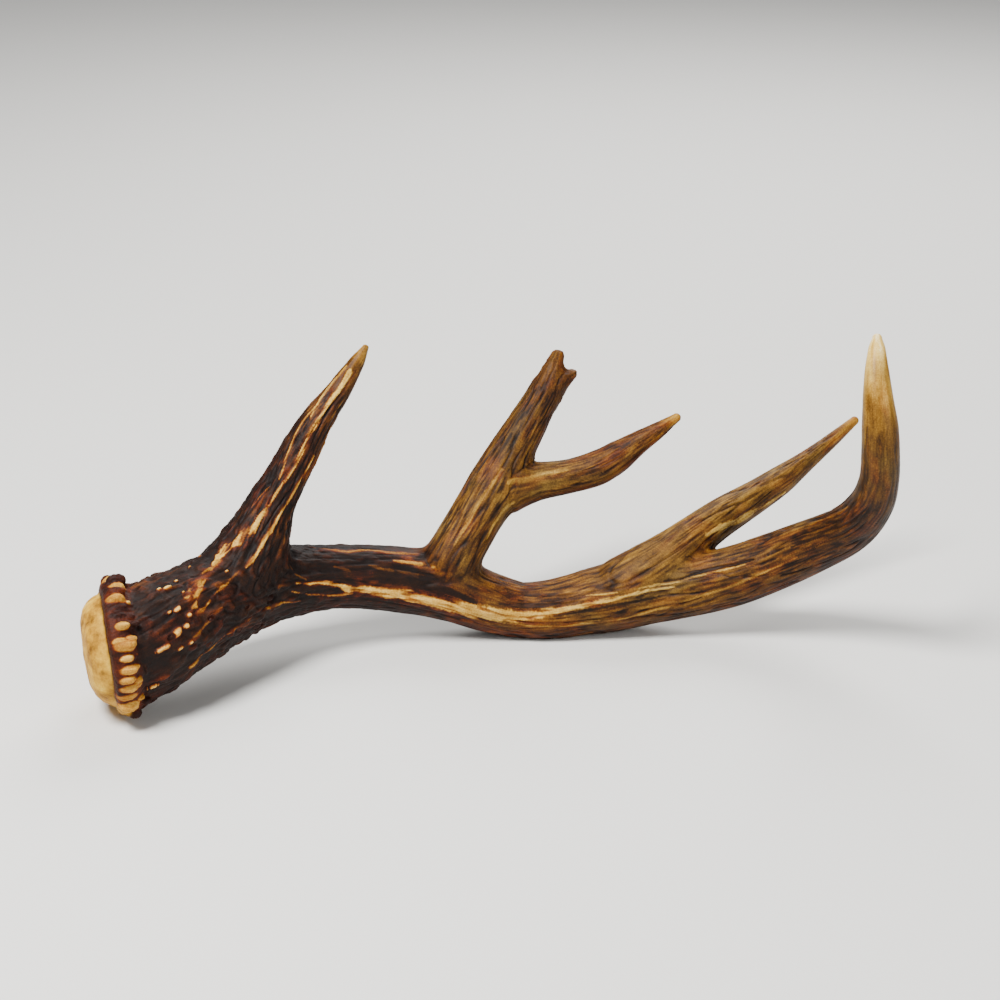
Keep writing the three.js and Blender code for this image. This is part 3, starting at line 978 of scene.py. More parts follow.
class Coat:
    """The bone's relief, in millimetres, and the masks that its finishes read."""

    def __init__(self, points, triangles, beads):
        skin = Skin(points)
        self.skin = skin
        self.points = points
        self.normals = point_normals(points, triangles)
        self.grain = SimpleNamespace(**{
            name: skin.grain(SEEDS[name], width, stretch) for name, (width, stretch) in GRAINS.items()})
        self.swell = skin.even(SEEDS["swell"], SWELL_SIZE)
        self.pore = skin.even(SEEDS["pore"], PORE_SPACING)
        self.tone, self.rust, self.olive = (skin.look(column) for column in (1, 2, 3))
        self.gutters, self.ridges, self.knobs, self.polish = (skin.look(column) for column in (4, 5, 6, 7))
        height, axis_distance, _ = in_burr(points)
        spread = LOW_SPREAD * (1 - rise(7, 16, points[:, 2]))
        self.on_burr = rise(BURR_FOOT - 2, BURR_FOOT + 1, height)
        self.on_seal = rise(0.1, 1.6, height + spread) * (1 - rise(23.6, 24.8, axis_distance - spread))
        self.on_lip = rise(-3.0, 0.0, height) * self.on_burr * (1 - self.on_seal)
        self.closeness, self.bead_tone = bead_fields(points, beads)
        self.beading = 1 - rise(0.98, 1.3, self.closeness)
        self.bare = (1 - self.on_burr) * (1 - self.beading)
        self.relief = np.zeros(len(points))

    def carve(self, depth):
        """Cuts the gutters, and raises the ridges, the knobbles and the burr's rough skin."""
        grain = self.grain
        opened = rise(-0.25, 0.15, grain.gap) * self.gutters
        closed = rise(-0.1, 0.3, -grain.gap) * self.gutters
        self.broad_gutter = (1 - rise(0.0, 0.12, np.abs(grain.broad))) * opened
        self.medium_gutter = (1 - rise(0.0, 0.15, np.abs(grain.medium))) * closed
        self.fleck = rise(0.05, 0.40, grain.thin) * self.gutters
        rubbed = rise(-0.1, 0.3, grain.patch + 0.4 * grain.edge)
        outer = rise(-0.1, 0.5, self.normals @ FRONT)
        self.worn_ridge = rise(0.20, 0.42, grain.ridge) * rubbed * self.ridges * (1 - 0.5 * outer)
        self.knobble = rise(0.05, 0.55, grain.knob) * self.knobs
        serrated = rise(0.0, 0.5, grain.serration) * self.knobs
        seal_swell = self.skin.even(SEEDS["burr"], SEAL_SWELL_SIZE)

        sunk = 0.70 * self.broad_gutter + 0.38 * self.medium_gutter + 0.18 * self.fleck
        raised = 0.45 * self.worn_ridge + 0.85 * self.knobble + 0.60 * serrated
        self.relief += 0.6 * self.swell * (1 - 0.8 * self.polish)
        self.relief += self.bare * (raised - depth * sunk)
        self.relief += self.on_burr * (1 - self.on_seal) * (0.35 * grain.knob + 0.25 * self.pore)
        self.relief += self.on_seal * (0.40 * seal_swell + 0.12 * self.pore)

    def stain(self):
        """Darkens gutters, darkens and reddens the underside as stain and as painted shade, and lays rust and
        olive on in patches.
        """
        grain, bare = self.grain, self.bare
        self.tone += (0.11 * grain.mottle + 0.09 * grain.patch) * (0.25 + self.tone)
        self.tone -= bare * (0.18 * self.broad_gutter + 0.16 * self.medium_gutter + 0.17 * self.fleck)
        self.tone += bare * 0.09 * rise(0.1, 0.5, -grain.thin) * self.gutters * (self.tone > 0.2)
        self.tone += bare * (0.45 * self.worn_ridge + 0.06 * self.knobble)
        # Faces that look down are painted darker and redder: partly stain, partly painted shade from a light
        # above.
        underside_stain_and_shade = rise(0.05, 0.85, -self.normals[:, 2]) * (1 - self.polish) * (1 - self.on_burr)
        self.tone *= 1 - 0.45 * underside_stain_and_shade
        self.rust += 0.45 * underside_stain_and_shade + 0.45 * rise(0.1, 0.5, grain.rust) - 0.12
        self.olive += 0.3 * rise(0.0, 0.5, grain.olive) * (self.olive > 0.05)
        dark = self.tone < DARK_TONE
        reddish = rise(0.05, 0.55, grain.serration + 0.4 * grain.medium) * bare * dark
        self.tone += 0.09 * reddish
        self.rust += 0.35 * reddish

    def lay_marks(self):
        """Lays on the worn and stained marks, each with a rusty edge where the bone is dark."""
        grain = self.grain
        ragged = 0.30 * grain.edge + 0.25 * self.pore + 0.30 * grain.thin - 1.3 * self.knobs * grain.knob
        missed = rise(0.3, 0.9, self.knobs) * (1 - rise(-0.45, -0.05, grain.patch + 0.7 * grain.edge))
        rubbed = self.bare * (1 - 0.5 * self.fleck) * (1 - missed)
        for name, mark_tone, lift, course in MARKS:
            reach = self.skin.reach(name, course, ragged)
            rim = (1 - rise(1.0, 2.6, reach)) * self.bare * (mark_tone > 0.4) * (self.tone < DARK_TONE)
            self.rust += 0.5 * rim
            self.tone += 0.10 * rim
            cover = (1 - rise(0.6, 1.15, reach)) * rubbed
            self.tone += (mark_tone + 0.10 * grain.patch - self.tone) * cover
            self.rust *= 1 - 0.6 * cover
            self.relief += lift * cover

    def set_pearls(self):
        """Raises the cream pearls, which are domes with a rusty foot."""
        for along, turn, half_length, half_width in PEARLS:
            spare = max(half_length - half_width, 0) + 0.01
            course = [(along - spare, turn, half_width), (along + spare, turn, half_width)]
            reach = self.skin.reach("beam", course, 0.15 * self.grain.edge)
            cover = 1 - rise(0.7, 1.15, reach)
            self.rust += 0.6 * (1 - rise(1.0, 2.2, reach))
            self.tone += (PEARL_TONE - 0.12 * rise(0.2, 1, reach) - self.tone) * cover
            self.relief += PEARL_HEIGHT * np.sqrt(np.clip(1 - reach ** 2 / 1.4, 0, 1))

    def dress_burr(self):
        """Gives the burr its rusty skin and worn lip, and each bead its own tone, paler at its crown and
        darker and rustier at its foot: partly wear and stain, partly painted shade between the beads.
        """
        knob, on_burr = self.grain.knob, self.on_burr
        crown = 1 - rise(0.55, 1.2, self.closeness)
        # A bead darkens and reddens from its crown to its foot: partly stain, partly painted shade in the
        # creases between beads.
        bead_tone = self.bead_tone * (0.72 + 0.28 * crown) + 0.05 * knob
        bead_rust_and_shade = 0.05 + 0.8 * (1 - crown) + 0.5 * (bead_tone < 0.45)
        lip = self.on_lip * rise(-0.2, 0.5, -self.points[:, 2] / 30 + 0.6 + 0.5 * knob)
        self.tone = self.tone * (1 - on_burr) + on_burr * (0.18 + 0.07 * knob + 0.45 * lip)
        self.rust = self.rust * (1 - on_burr) + on_burr * 0.95
        self.tone += (bead_tone - self.tone) * self.beading * (1 - self.on_seal)
        self.rust += (bead_rust_and_shade - self.rust) * self.beading

    def masks(self):
        """What the finishes read at each point: five shares, and the places of the streaks."""
        return {
            "tone": np.clip(self.tone, 0, 1),
            "rust": np.clip(self.rust, 0, 1),
            "olive": np.clip(self.olive * (1 - self.on_burr), 0, 1),
            "polish": np.clip(self.polish, 0, 1) * (1 - self.on_burr),
            "seal": self.on_seal,
            "grain": self.skin.streak_places(STREAK_STRETCH) * MM,
        }


# ---------------------------------------------------------------------------------------------
# Finishes
# ---------------------------------------------------------------------------------------------
# Rough antler is porous bone that soil and bark stain; rubbing wears its high places back to cream.
TONE_STOPS = [
    (0.00, "#0b0301"), (0.14, "#1a0a01"), (0.26, "#321902"), (0.38, "#4f2e05"), (0.50, "#71490e"),
    (0.62, "#946a1e"), (0.74, "#b98f36"), (0.86, "#d7b35b"), (1.00, "#eedaa2"),
]
RUST_STOPS = [
    (0.00, "#0f0301"), (0.14, "#260901"), (0.26, "#451602"), (0.38, "#652a03"), (0.50, "#84470a"),
    (0.62, "#a2681c"), (0.74, "#c18e3b"), (0.86, "#dab569"), (1.00, "#eed7a0"),
]
OLIVE_STOPS = [
    (0.00, "#090501"), (0.14, "#190f02"), (0.26, "#2f2108"), (0.38, "#4a3812"), (0.50, "#695323"),
    (0.62, "#8a7239"), (0.74, "#ab9456"), (0.86, "#cbb67d"), (1.00, "#e6d8ab"),
]
SEAL_STOPS = [(0.0, "#6a440c"), (0.3, "#a0721c"), (0.6, "#c0922a"), (0.85, "#d3ab3e"), (1.0, "#e3c66c")]
PORE_SIZE_MM = 0.7
STREAK_WIDTH_MM = 0.55
STREAK_STRETCH = 11
STAIN_SIZE_MM = 5.0
BROAD_SEAL_SIZE_MM = 9.0


def ramp(tree, factor, stops):
    node = add_node(tree, "ShaderNodeValToRGB", inputs={"Fac": factor})
    band = node.color_ramp
    while len(band.elements) > 1:
        band.elements.remove(band.elements[-1])
    band.elements[0].position = stops[0][0]
    band.elements[0].color = linear(stops[0][1])
    for position, colour in stops[1:]:
        band.elements.new(position).color = linear(colour)
    return node.outputs["Color"]


def mask(tree, name):
    return add_node(tree, "ShaderNodeAttribute", {"attribute_name": name}).outputs["Fac"]


def mixed(tree, factor, first, second):
    node = add_node(tree, "ShaderNodeMix", {"data_type": "RGBA"})
    for index, value in ((0, factor), (6, first), (7, second)):
        tree.links.new(value, node.inputs[index])
    return node.outputs[2]


def antler_material(name, with_seal=False):
    """Antler bone: stain, wear and painted shade follow the surface's own masks, pores are drawn in place."""
    material = bpy.data.materials.new(name)
    material.use_nodes = True
    tree = material.node_tree
    tree.nodes.clear()
    place = add_node(tree, "ShaderNodeTexCoord").outputs["Object"]
    pores = add_node(tree, "ShaderNodeTexNoise", inputs={
        "Vector": place, "Scale": 1 / (PORE_SIZE_MM * MM), "Detail": 3.0, "Roughness": 0.6})
    stain = add_node(tree, "ShaderNodeTexNoise", inputs={
        "Vector": place, "Scale": 1 / (STAIN_SIZE_MM * MM), "Detail": 4.0, "Roughness": 0.55})
    grain = add_node(tree, "ShaderNodeAttribute", {"attribute_name": "grain"}).outputs["Vector"]
    streak = add_node(tree, "ShaderNodeTexNoise", inputs={
        "Vector": grain, "Scale": 1 / (STREAK_WIDTH_MM * MM), "Detail": 2.0, "Roughness": 0.5})
    depth = add_node(tree, "ShaderNodeMapRange", inputs={
        "Value": mask(tree, "polish"), "To Min": 0.34, "To Max": 0.10})
    swing = add_node(tree, "ShaderNodeMath", {"operation": "SUBTRACT"}, {0: streak.outputs["Fac"], 1: 0.5})
    swing = add_node(tree, "ShaderNodeMath", {"operation": "MULTIPLY"},
                     {0: swing.outputs[0], 1: depth.outputs[0]})
    speck = add_node(tree, "ShaderNodeMapRange", inputs={
        "Value": pores.outputs["Fac"], "From Min": 0.3, "From Max": 0.7, "To Min": -0.06, "To Max": 0.06})
    cloud = add_node(tree, "ShaderNodeMapRange", inputs={
        "Value": stain.outputs["Fac"], "From Min": 0.3, "From Max": 0.7, "To Min": -0.05, "To Max": 0.05})
    tone = add_node(tree, "ShaderNodeMath", {"operation": "ADD"},
                    {0: mask(tree, "tone"), 1: speck.outputs[0]})
    tone = add_node(tree, "ShaderNodeMath", {"operation": "ADD"}, {0: tone.outputs[0], 1: cloud.outputs[0]})
    depth_of_tone = add_node(tree, "ShaderNodeMapRange", inputs={
        "Value": tone.outputs[0], "From Min": 0.05, "From Max": 0.35, "To Min": 0.25, "To Max": 1.0})
    swing = add_node(tree, "ShaderNodeMath", {"operation": "MULTIPLY"},
                     {0: swing.outputs[0], 1: depth_of_tone.outputs[0]})
    tone = add_node(tree, "ShaderNodeMath", {"operation": "ADD"}, {0: tone.outputs[0], 1: swing.outputs[0]})
    tone = tone.outputs[0]
    colour = mixed(tree, mask(tree, "rust"), ramp(tree, tone, TONE_STOPS), ramp(tree, tone, RUST_STOPS))
    colour = mixed(tree, mask(tree, "olive"), colour, ramp(tree, tone, OLIVE_STOPS))
    if with_seal:
        broad = add_node(tree, "ShaderNodeTexNoise", inputs={
            "Vector": place, "Scale": 1 / (BROAD_SEAL_SIZE_MM * MM), "Detail": 5.0, "Roughness": 0.65})
        seal_tone = add_node(tree, "ShaderNodeMapRange", inputs={
            "Value": broad.outputs["Fac"], "From Min": 0.34, "From Max": 0.72})
        seal_tone = add_node(tree, "ShaderNodeMath", {"operation": "ADD"},
                             {0: seal_tone.outputs[0], 1: speck.outputs[0]})
        colour = mixed(tree, mask(tree, "seal"), colour, ramp(tree, seal_tone.outputs[0], SEAL_STOPS))
    rough = add_node(tree, "ShaderNodeMapRange", inputs={
        "Value": mask(tree, "polish"), "To Min": 0.62, "To Max": 0.34})
    rough = add_node(tree, "ShaderNodeMath", {"operation": "ADD"}, {0: rough.outputs[0], 1: speck.outputs[0]})
    strength = add_node(tree, "ShaderNodeMapRange", inputs={
        "Value": mask(tree, "polish"), "To Min": 0.55, "To Max": 0.10})
    bump = add_node(tree, "ShaderNodeBump", inputs={
        "Height": pores.outputs["Fac"], "Distance": 0.25 * MM, "Strength": strength.outputs[0]})
    surface = add_node(tree, "ShaderNodeBsdfPrincipled", inputs={
        "Base Color": colour, "Roughness": rough.outputs[0], "Normal": bump.outputs[0], "IOR": 1.5,
        "Specular IOR Level": 0.15})
    add_node(tree, "ShaderNodeOutputMaterial", inputs={"Surface": surface.outputs[0]})
    return material


FINISHES = {
    "stained_antler": ("stained rough antler", True),
    "grooved_antler": ("guttered grey-brown antler", False),
    "polished_antler": ("rubbed antler tip", False),
}


def finish_for(slot):
    name, with_seal = FINISHES[slot]
    return bpy.data.materials.get(name) or antler_material(name, with_seal)


def slot_of(node):
    """The record's material slot of a node."""
    for row in frame["record"]["subparts"]:
        if row["node"] == node:
            return row["material_slot"]
    raise RuntimeError(f"the record has no finish for {node}")


# ---------------------------------------------------------------------------------------------
# Taking the pieces from the bone
# ---------------------------------------------------------------------------------------------
BONE = "whole_bone"
# What the bone carries at each point: the finishes' masks, the streaks' places, and its normal.
FIELDS = ("tone", "rust", "olive", "polish", "seal", "grain", "facing")


def write_field(mesh, name, values):
    """Stores a number or a vector for each point."""
    kind, part = ("FLOAT", "value") if values.ndim == 1 else ("FLOAT_VECTOR", "vector")
    field = mesh.attributes.new(name, kind, "POINT")
    field.data.foreach_set(part, values.astype(np.float32).ravel())


def read_field(mesh, name):
    field = mesh.attributes[name]
    if field.data_type == "FLOAT":
        values = np.empty(len(field.data), np.float32)
        field.data.foreach_get("value", values)
        return values
    values = np.empty(3 * len(field.data), np.float32)
    field.data.foreach_get("vector", values)
    return values.reshape(-1, 3)


def fill_mesh(mesh, points_mm, triangles):
    mesh.vertices.add(len(points_mm))
    set_points(mesh, points_mm)
    mesh.loops.add(triangles.size)
    mesh.loops.foreach_set("vertex_index", triangles.astype(np.int32).ravel())
    mesh.polygons.add(len(triangles))
    mesh.polygons.foreach_set("loop_start", np.arange(0, triangles.size, 3, dtype=np.int32))
    mesh.update(calc_edges=True)


def rim_loops(triangles):
    """The open rims of a set of triangles: each is its points in order, against the faces."""
    forth = np.vstack([triangles[:, [0, 1]], triangles[:, [1, 2]], triangles[:, [2, 0]]])
    pairs = {(int(a), int(b)) for a, b in forth}
    following = {b: a for a, b in pairs if (b, a) not in pairs}
    loops = []
    while following:
        start = next(iter(following))
        loop = [start]
        step = following.pop(start)
        while step != start:
            loop.append(step)
            step = following.pop(step)
        loops.append(loop)
    return loops


def cut_from_bone(node):
    """A piece's points and triangles, open where it was cut, and the bone's fields at them."""
    bone = bpy.data.objects[BONE].data
    _, triangles = mesh_lists(bone)
    numbers = np.empty(len(triangles), np.int32)
    bone.attributes["part"].data.foreach_get("value", numbers)
    used, flat = np.unique(triangles[numbers == list(PIECES).index(node)], return_inverse=True)
    return points_of(bone)[used], flat.reshape(-1, 3), {name: read_field(bone, name)[used] for name in FIELDS}


def capped(points, triangles, fields):
    """Closes each open rim with a fan of triangles round a new point in its middle."""
    for loop in rim_loops(triangles):
        heart = len(points)
        points = np.vstack([points, points[loop].mean(axis=0)])
        for name, values in fields.items():
            middle = values[loop[0]] if name == "grain" else values[loop].mean(axis=0)
            fields[name] = np.concatenate([values, [middle]])
        fan = [(heart, a, b) for a, b in zip(loop, loop[1:] + loop[:1])]
        triangles = np.vstack([triangles, fan])
    return points, triangles


def set_normals(mesh, points, triangles, facing, outer):
    """Keeps the bone's smooth normals up to the cut rims, and makes the caps flat."""
    mesh.attributes.new("sharp_face", "BOOLEAN", "FACE").data.foreach_set(
        "value", np.arange(len(triangles)) >= outer)
    mesh.update()
    a, b, c = (points[triangles[outer:, corner]] for corner in range(3))
    flat = unit(np.cross(b - a, c - a))
    corner_normals = np.vstack([facing[triangles[:outer].ravel()], np.repeat(flat, 3, axis=0)])
    mesh.normals_split_custom_set(corner_normals.astype(np.float32))


def take_piece(node):
    """Makes one closed piece of the bone, with its cut ends capped, and gives it its finish."""
    points, triangles, fields = cut_from_bone(node)
    outer = len(triangles)
    points, triangles = capped(points, triangles, fields)
    piece = bpy.data.objects.new("antler_" + node, bpy.data.meshes.new("antler_" + node))
    bpy.context.scene.collection.objects.link(piece)
    mesh = piece.data
    fill_mesh(mesh, points, triangles)
    set_normals(mesh, points, triangles, fields.pop("facing"), outer)
    for name, values in fields.items():
        write_field(mesh, name, values)
    slot = slot_of(node)
    mesh.materials.append(finish_for(slot))
    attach(piece, "root")
    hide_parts(node)
    return piece


# ---------------------------------------------------------------------------------------------
# Settings
# ---------------------------------------------------------------------------------------------
class AntlerShape(bpy.types.PropertyGroup):
    voxel: bpy.props.FloatProperty(
        name="Surface step", description="Spacing of the surface's points", default=0.00054,
        min=0.0003, max=0.003, precision=5, unit="LENGTH")
    softness: bpy.props.FloatProperty(
        name="Fork softness", description="How softly limbs grow into each other", default=1.0,
        min=0.3, max=3.0, subtype="FACTOR")
    gutter_depth: bpy.props.FloatProperty(
        name="Gutter depth", description="Depth of the deepest lengthwise gutters", default=0.001,
        min=0, max=0.003, precision=4, unit="LENGTH")
    limb_sides: bpy.props.IntProperty(
        name="Limb sides", description="Facets round a limb before the surface is fused", default=48,
        min=12, max=96)


class AntlerBeads(bpy.types.PropertyGroup):
    count: bpy.props.IntProperty(
        name="Beads", description="Beads round the burr", default=38, min=12, max=80)
    half_length: bpy.props.FloatProperty(
        name="Half length", description="Half a bead's length along the antler", default=0.0041,
        min=0.001, max=0.006, precision=4, unit="LENGTH")
    half_width: bpy.props.FloatProperty(
        name="Half width", description="Half a bead's width round the burr", default=0.0021,
        min=0.0005, max=0.004, precision=4, unit="LENGTH")
    half_height: bpy.props.FloatProperty(
        name="Half height", description="Half a bead's height", default=0.0030,
        min=0.0005, max=0.004, precision=4, unit="LENGTH")
    pearl_spacing: bpy.props.FloatProperty(
        name="Pearl spacing", description="Least distance between the stem's pearls", default=0.0075,
        min=0.003, max=0.03, precision=4, unit="LENGTH")


class AntlerStage(bpy.types.PropertyGroup):
    floor_size: bpy.props.FloatProperty(
        name="Floor", description="Width of the floor", default=12, min=2, max=40, unit="LENGTH")
    floor_colour: bpy.props.FloatVectorProperty(
        name="Floor colour", description="Pale matt floor", subtype="COLOR", size=4,
        default=linear("#dcdad5"), min=0, max=1)
    key_power: bpy.props.FloatProperty(
        name="Key light", description="Power of the large soft light", default=42, min=0,
        unit="POWER")
    lens: bpy.props.FloatProperty(
        name="Lens", description="Focal length in millimetres on a 36 mm wide sensor", default=89.9,
        min=20, max=200)


# ---------------------------------------------------------------------------------------------
# Operators
# ---------------------------------------------------------------------------------------------
LIMB_PREFIX = "grown_"
BLOBS = "grown_beads"


def limb_object(limb, last=None):
    """A limb's middle line as a mesh of edges that carries its radius."""
    line = limb.line[:last]
    mesh = bpy.data.meshes.new(LIMB_PREFIX + limb.name)
    mesh.from_pydata((line * MM).tolist(), [(i, i + 1) for i in range(len(line) - 1)], [])
    radius = mesh.attributes.new("radius_m", "FLOAT", "POINT")
    radius.data.foreach_set("value", (limb.radii[:last] * MM).astype(np.float32))
    thing = bpy.data.objects.new(LIMB_PREFIX + limb.name, mesh)
    bpy.context.scene.collection.objects.link(thing)
    return thing


def grown(thing, tree, values):
    """Runs a Geometry Nodes tree on an object and keeps the result as its mesh."""
    modifier = thing.modifiers.new(tree.name, "NODES")
    modifier.node_group = tree
    set_inputs(modifier, values)
    return flattened(thing)


class ANTLER_OT_grow_limbs(bpy.types.Operator):
    """Sweeps the beam and the tines along their middle lines"""
    bl_idname = "antler.grow_limbs"
    bl_label = "Grow limbs"

    def execute(self, context):
        tree = limb_tree()
        sides = context.scene.antler_shape.limb_sides
        for limb in LIMBS.values():
            grown(limb_object(limb), tree, {"Sides": sides, "Material": finish_for("grooved_antler")})
        mesh_object(LIMB_PREFIX + "burr", *burr_blank())
        return {"FINISHED"}


# Pearls are scattered over the beam between these two of its samples.
STEM_START = 10
STEM_END = 72
# How far a bead may stray from its ring, in metres.
RING_WANDER = 0.0014
HIND_WANDER = 0.0015
# The first row's beads are centred this far inside the burr's ring radius, in millimetres.
RING_INSET = 0.4
# A scattered pearl's half sizes, in metres.
PEARL_HALVES = {"Half Length": 0.0021, "Half Width": 0.0012, "Half Height": 0.0011}


class ANTLER_OT_set_beads(bpy.types.Operator):
    """Sets the burr's ring of beads and scatters pearls over the stem"""
    bl_idname = "antler.set_beads"
    bl_label = "Set beads and pearls"

    def execute(self, context):
        beads = context.scene.antler_beads
        finish = finish_for("stained_antler")
        ring = mesh_object("bead_ring", np.zeros((1, 3)), [])
        grown(ring, bead_ring_tree(), {
            "Count": beads.count, "Ring Radius": (BURR_RING_RADIUS - RING_INSET) * MM,
            "Wander": RING_WANDER, "Half Length": beads.half_length, "Half Width": beads.half_width,
            "Half Height": beads.half_height, "Smallest": 0.66, "Largest": 1.14, "Material": finish})
        place = Matrix.Translation(Vector(BURR_CENTRE * MM)) @ burr_turn()
        ring.data.transform(place @ Matrix.Translation(Vector((0, 0, BEAD_HEIGHT * MM))))
        hind = mesh_object("hind_ring", np.zeros((1, 3)), [])
        grown(hind, bead_ring_tree(), {
            "Count": HIND_COUNT, "Ring Radius": HIND_RADIUS * MM, "Wander": HIND_WANDER,
            "Half Length": 0.6 * beads.half_length, "Half Width": 0.75 * beads.half_width,
            "Half Height": 0.7 * beads.half_height, "Smallest": 0.5, "Largest": 1.15,
            "Seed": SEEDS["gap"], "Material": finish})
        hind.data.transform(place @ Matrix.Translation(Vector((0, 0, HIND_HEIGHT * MM))))
        stem = limb_object(LIMBS["beam"], STEM_END)
        stem.name = "stem"
        grown(stem, limb_tree(), {"Sides": 64, "Material": finish})
        clear_ends(stem.data)
        grain = Vector(LIMBS["beam"].line[STEM_END] - LIMBS["beam"].line[STEM_START]).normalized()
        grown(stem, pearl_tree(), {
            "Spacing": beads.pearl_spacing, "Grain": grain, **PEARL_HALVES, "Smallest": 0.5,
            "Largest": 1.15, "Seed": SEEDS["knob"], "Material": finish})
        mesh_object(BLOBS, *joined([ring, hind, stem]))
        for thing in (ring, hind, stem):
            bpy.data.objects.remove(thing)
        return {"FINISHED"}


def clear_ends(mesh):
    """Drops the stem's caps and the part inside the burr, so that no pearl lands there."""
    sheet = bmesh.new()
    sheet.from_mesh(mesh)
    line = LIMBS["beam"].line
    start, way = line[STEM_START], unit(line[STEM_START + 10] - line[STEM_START])
    hidden = [
        face for face in sheet.faces
        if len(face.verts) > 4 or (np.array(face.calc_center_median()) / MM - start) @ way < 0
    ]
    bmesh.ops.delete(sheet, geom=hidden, context="FACES")
    sheet.to_mesh(mesh)
    sheet.free()


def joined(things):
    """The points and faces of all the shapes together."""
    points, faces, shift = [], [], 0
    for thing in things:
        points.append(points_of(thing.data))
        faces += [tuple(i + shift for i in face.vertices) for face in thing.data.polygons]
        shift += len(thing.data.vertices)
    return np.vstack(points), faces


def fused(things, voxel):
    """All the shapes as one closed surface, made by a voxel remesh."""
    whole = mesh_object(BONE, *joined(things))
    modifier = whole.modifiers.new("Fuse", "REMESH")
    modifier.mode = "VOXEL"
    modifier.voxel_size = voxel
    modifier.adaptivity = 0
    return flattened(whole)


class ANTLER_OT_fuse_bone(bpy.types.Operator):
    """Fuses limbs, burr and beads into one bone, parts it and carves its surface"""
    bl_idname = "antler.fuse_bone"
    bl_label = "Fuse and carve bone"

    def execute(self, context):
        shape = context.scene.antler_shape
        things = [thing for thing in bpy.data.objects if thing.name.startswith(LIMB_PREFIX)]
        blobs = bpy.data.objects[BLOBS].data
        whole = fused(things, shape.voxel)
        mesh = whole.data
        set_points(mesh, fitted(mesh, blobs, shape.softness))
        surface = bmesh.new()
        surface.from_mesh(mesh)
        part_faces(surface)
        bmesh.ops.triangulate(surface, faces=surface.faces[:])
        loose = [corner for corner in surface.verts if not corner.link_faces]
        bmesh.ops.delete(surface, geom=loose, context="VERTS")
        surface.to_mesh(mesh)
        surface.free()
        _, triangles = mesh_lists(mesh)
        coat = Coat(points_of(mesh), triangles, blobs)
        coat.carve(shape.gutter_depth / MM)
        coat.stain()
        coat.lay_marks()
        coat.set_pearls()
        coat.dress_burr()
        points = coat.points + coat.relief[:, None] * coat.normals
        points[:, 2] = np.maximum(points[:, 2], 0)
        set_points(mesh, points)
        for name, values in coat.masks().items():
            write_field(mesh, name, values)
        write_field(mesh, "facing", point_normals(points_of(mesh), triangles))
        mesh.update()
        for thing in things:
            bpy.data.objects.remove(thing)
        return {"FINISHED"}


class ANTLER_OT_take_base(bpy.types.Operator):
    """Takes the base with its burr and seal from the bone"""
    bl_idname = "antler.take_base"
    bl_label = "Base and burr"

    def execute(self, context):
        take_piece("base_and_burr")
        return {"FINISHED"}


class ANTLER_OT_take_tines(bpy.types.Operator):
    """Takes the brow tine, the forked tine with its prongs and the third tine"""
    bl_idname = "antler.take_tines"
    bl_label = "Tines"

    def execute(self, context):
        for node in ("brow_tine", "forked_tine", "upper_prong", "lower_prong", "third_tine"):
            take_piece(node)
        return {"FINISHED"}


class ANTLER_OT_take_beam(bpy.types.Operator):
    """Takes the beam in its three lengths"""
    bl_idname = "antler.take_beam"
    bl_label = "Beam"

    def execute(self, context):
        for node in ("lower_beam", "middle_beam", "beam_end"):
            take_piece(node)
        bpy.data.objects.remove(bpy.data.objects[BONE])
        return {"FINISHED"}


CAMERA_PLACE = (0.0033, -1.0148, 0.4821)
CAMERA_PITCH_DEG = 22
LIGHTS = [
    # name, place, aim, width, share of the key's power
    ("key", (-0.50, -0.50, 1.15), (0, 0, 0.04), 0.5, 1.0),
    ("fill", (0.95, -0.85, 0.55), (0, 0, 0.05), 1.0, 0.22),
    ("back", (0.25, 0.95, 0.95), (0, 0, 0.05), 0.9, 0.45),
]


class ANTLER_OT_set_stage(bpy.types.Operator):
    """Makes the pale floor, the soft lights and the camera"""
    bl_idname = "antler.set_stage"
    bl_label = "Stage"

    def execute(self, context):
        stage = context.scene.antler_stage
        half = stage.floor_size / 2 / MM
        floor = mesh_object("studio_floor",
                            [(-half, -half, 0), (half, -half, 0), (half, half, 0), (-half, half, 0)],
                            [(0, 1, 2, 3)])
        floor.data.materials.append(floor_material(list(stage.floor_colour)))
        for name, place, aim, width, share in LIGHTS:
            lamp = bpy.data.lights.new(name + "_light", "AREA")
            lamp.shape = "DISK"
            lamp.size = width
            lamp.energy = stage.key_power * share
            thing = bpy.data.objects.new(name + "_light", lamp)
            thing.location = place
            thing.rotation_euler = (Vector(aim) - Vector(place)).to_track_quat("-Z", "Y").to_euler()
            context.scene.collection.objects.link(thing)
        world = bpy.data.worlds.new("pale room")
        world.use_nodes = True
        world.node_tree.nodes["Background"].inputs["Color"].default_value = linear("#e8eaee")
        world.node_tree.nodes["Background"].inputs["Strength"].default_value = 0.28
        context.scene.world = world
        camera = bpy.data.cameras.new("camera")
        camera.lens = stage.lens
        camera.sensor_width = 36
        camera.clip_end = 50
        eye = bpy.data.objects.new("camera", camera)
        eye.location = CAMERA_PLACE
        eye.rotation_euler = Euler((math.radians(90 - CAMERA_PITCH_DEG), 0, 0))
        context.scene.collection.objects.link(eye)
        context.scene.camera = eye
        return {"FINISHED"}


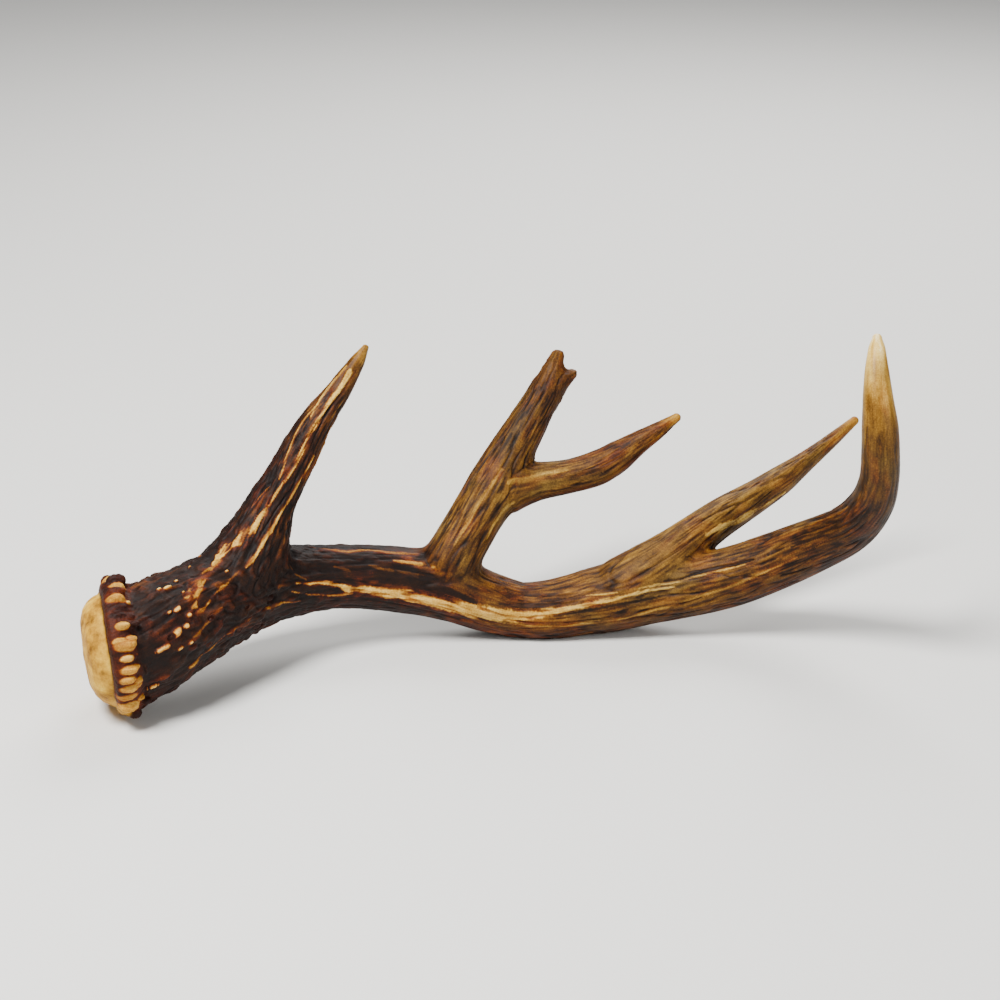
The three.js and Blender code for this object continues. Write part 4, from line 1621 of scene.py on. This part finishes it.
def floor_material(colour):
    """Matt seamless paper: even, with a faint tooth."""
    material = bpy.data.materials.new("matt studio paper")
    material.use_nodes = True
    tree = material.node_tree
    tree.nodes.clear()
    place = add_node(tree, "ShaderNodeTexCoord").outputs["Object"]
    tooth = add_node(tree, "ShaderNodeTexNoise", inputs={
        "Vector": place, "Scale": 1 / (1.5 * MM), "Detail": 2.0})
    bump = add_node(tree, "ShaderNodeBump", inputs={
        "Height": tooth.outputs["Fac"], "Distance": 0.05 * MM, "Strength": 0.4})
    surface = add_node(tree, "ShaderNodeBsdfPrincipled", inputs={
        "Base Color": colour, "Roughness": 0.85, "Normal": bump.outputs[0]})
    add_node(tree, "ShaderNodeOutputMaterial", inputs={"Surface": surface.outputs[0]})
    return material


STEPS = (
    ANTLER_OT_grow_limbs,
    ANTLER_OT_set_beads,
    ANTLER_OT_fuse_bone,
    ANTLER_OT_take_base,
    ANTLER_OT_take_tines,
    ANTLER_OT_take_beam,
    ANTLER_OT_set_stage,
)


class ANTLER_PT_panel(bpy.types.Panel):
    """The antler's sizes and steps"""
    bl_idname = "ANTLER_PT_panel"
    bl_label = "Deer Antler"
    bl_space_type = "VIEW_3D"
    bl_region_type = "UI"
    bl_category = "Antler"

    def draw(self, context):
        for group in (context.scene.antler_shape, context.scene.antler_beads, context.scene.antler_stage):
            box = self.layout.box()
            for name in group.__annotations__:
                box.prop(group, name)
        for step in STEPS:
            self.layout.operator(step.bl_idname)


GROUPS = {"antler_shape": AntlerShape, "antler_beads": AntlerBeads, "antler_stage": AntlerStage}


def register():
    for kind in (*GROUPS.values(), *STEPS, ANTLER_PT_panel):
        bpy.utils.register_class(kind)
    for name, kind in GROUPS.items():
        setattr(bpy.types.Scene, name, bpy.props.PointerProperty(type=kind))


def unregister():
    for name in GROUPS:
        delattr(bpy.types.Scene, name)
    for kind in reversed((*GROUPS.values(), *STEPS, ANTLER_PT_panel)):
        bpy.utils.unregister_class(kind)


def main():
    register()
    bpy.ops.antler.grow_limbs()
    bpy.ops.antler.set_beads()
    bpy.ops.antler.fuse_bone()
    bpy.ops.antler.take_base()
    bpy.ops.antler.take_tines()
    bpy.ops.antler.take_beam()
    bpy.ops.antler.set_stage()


if __name__ == "__main__":
    main()
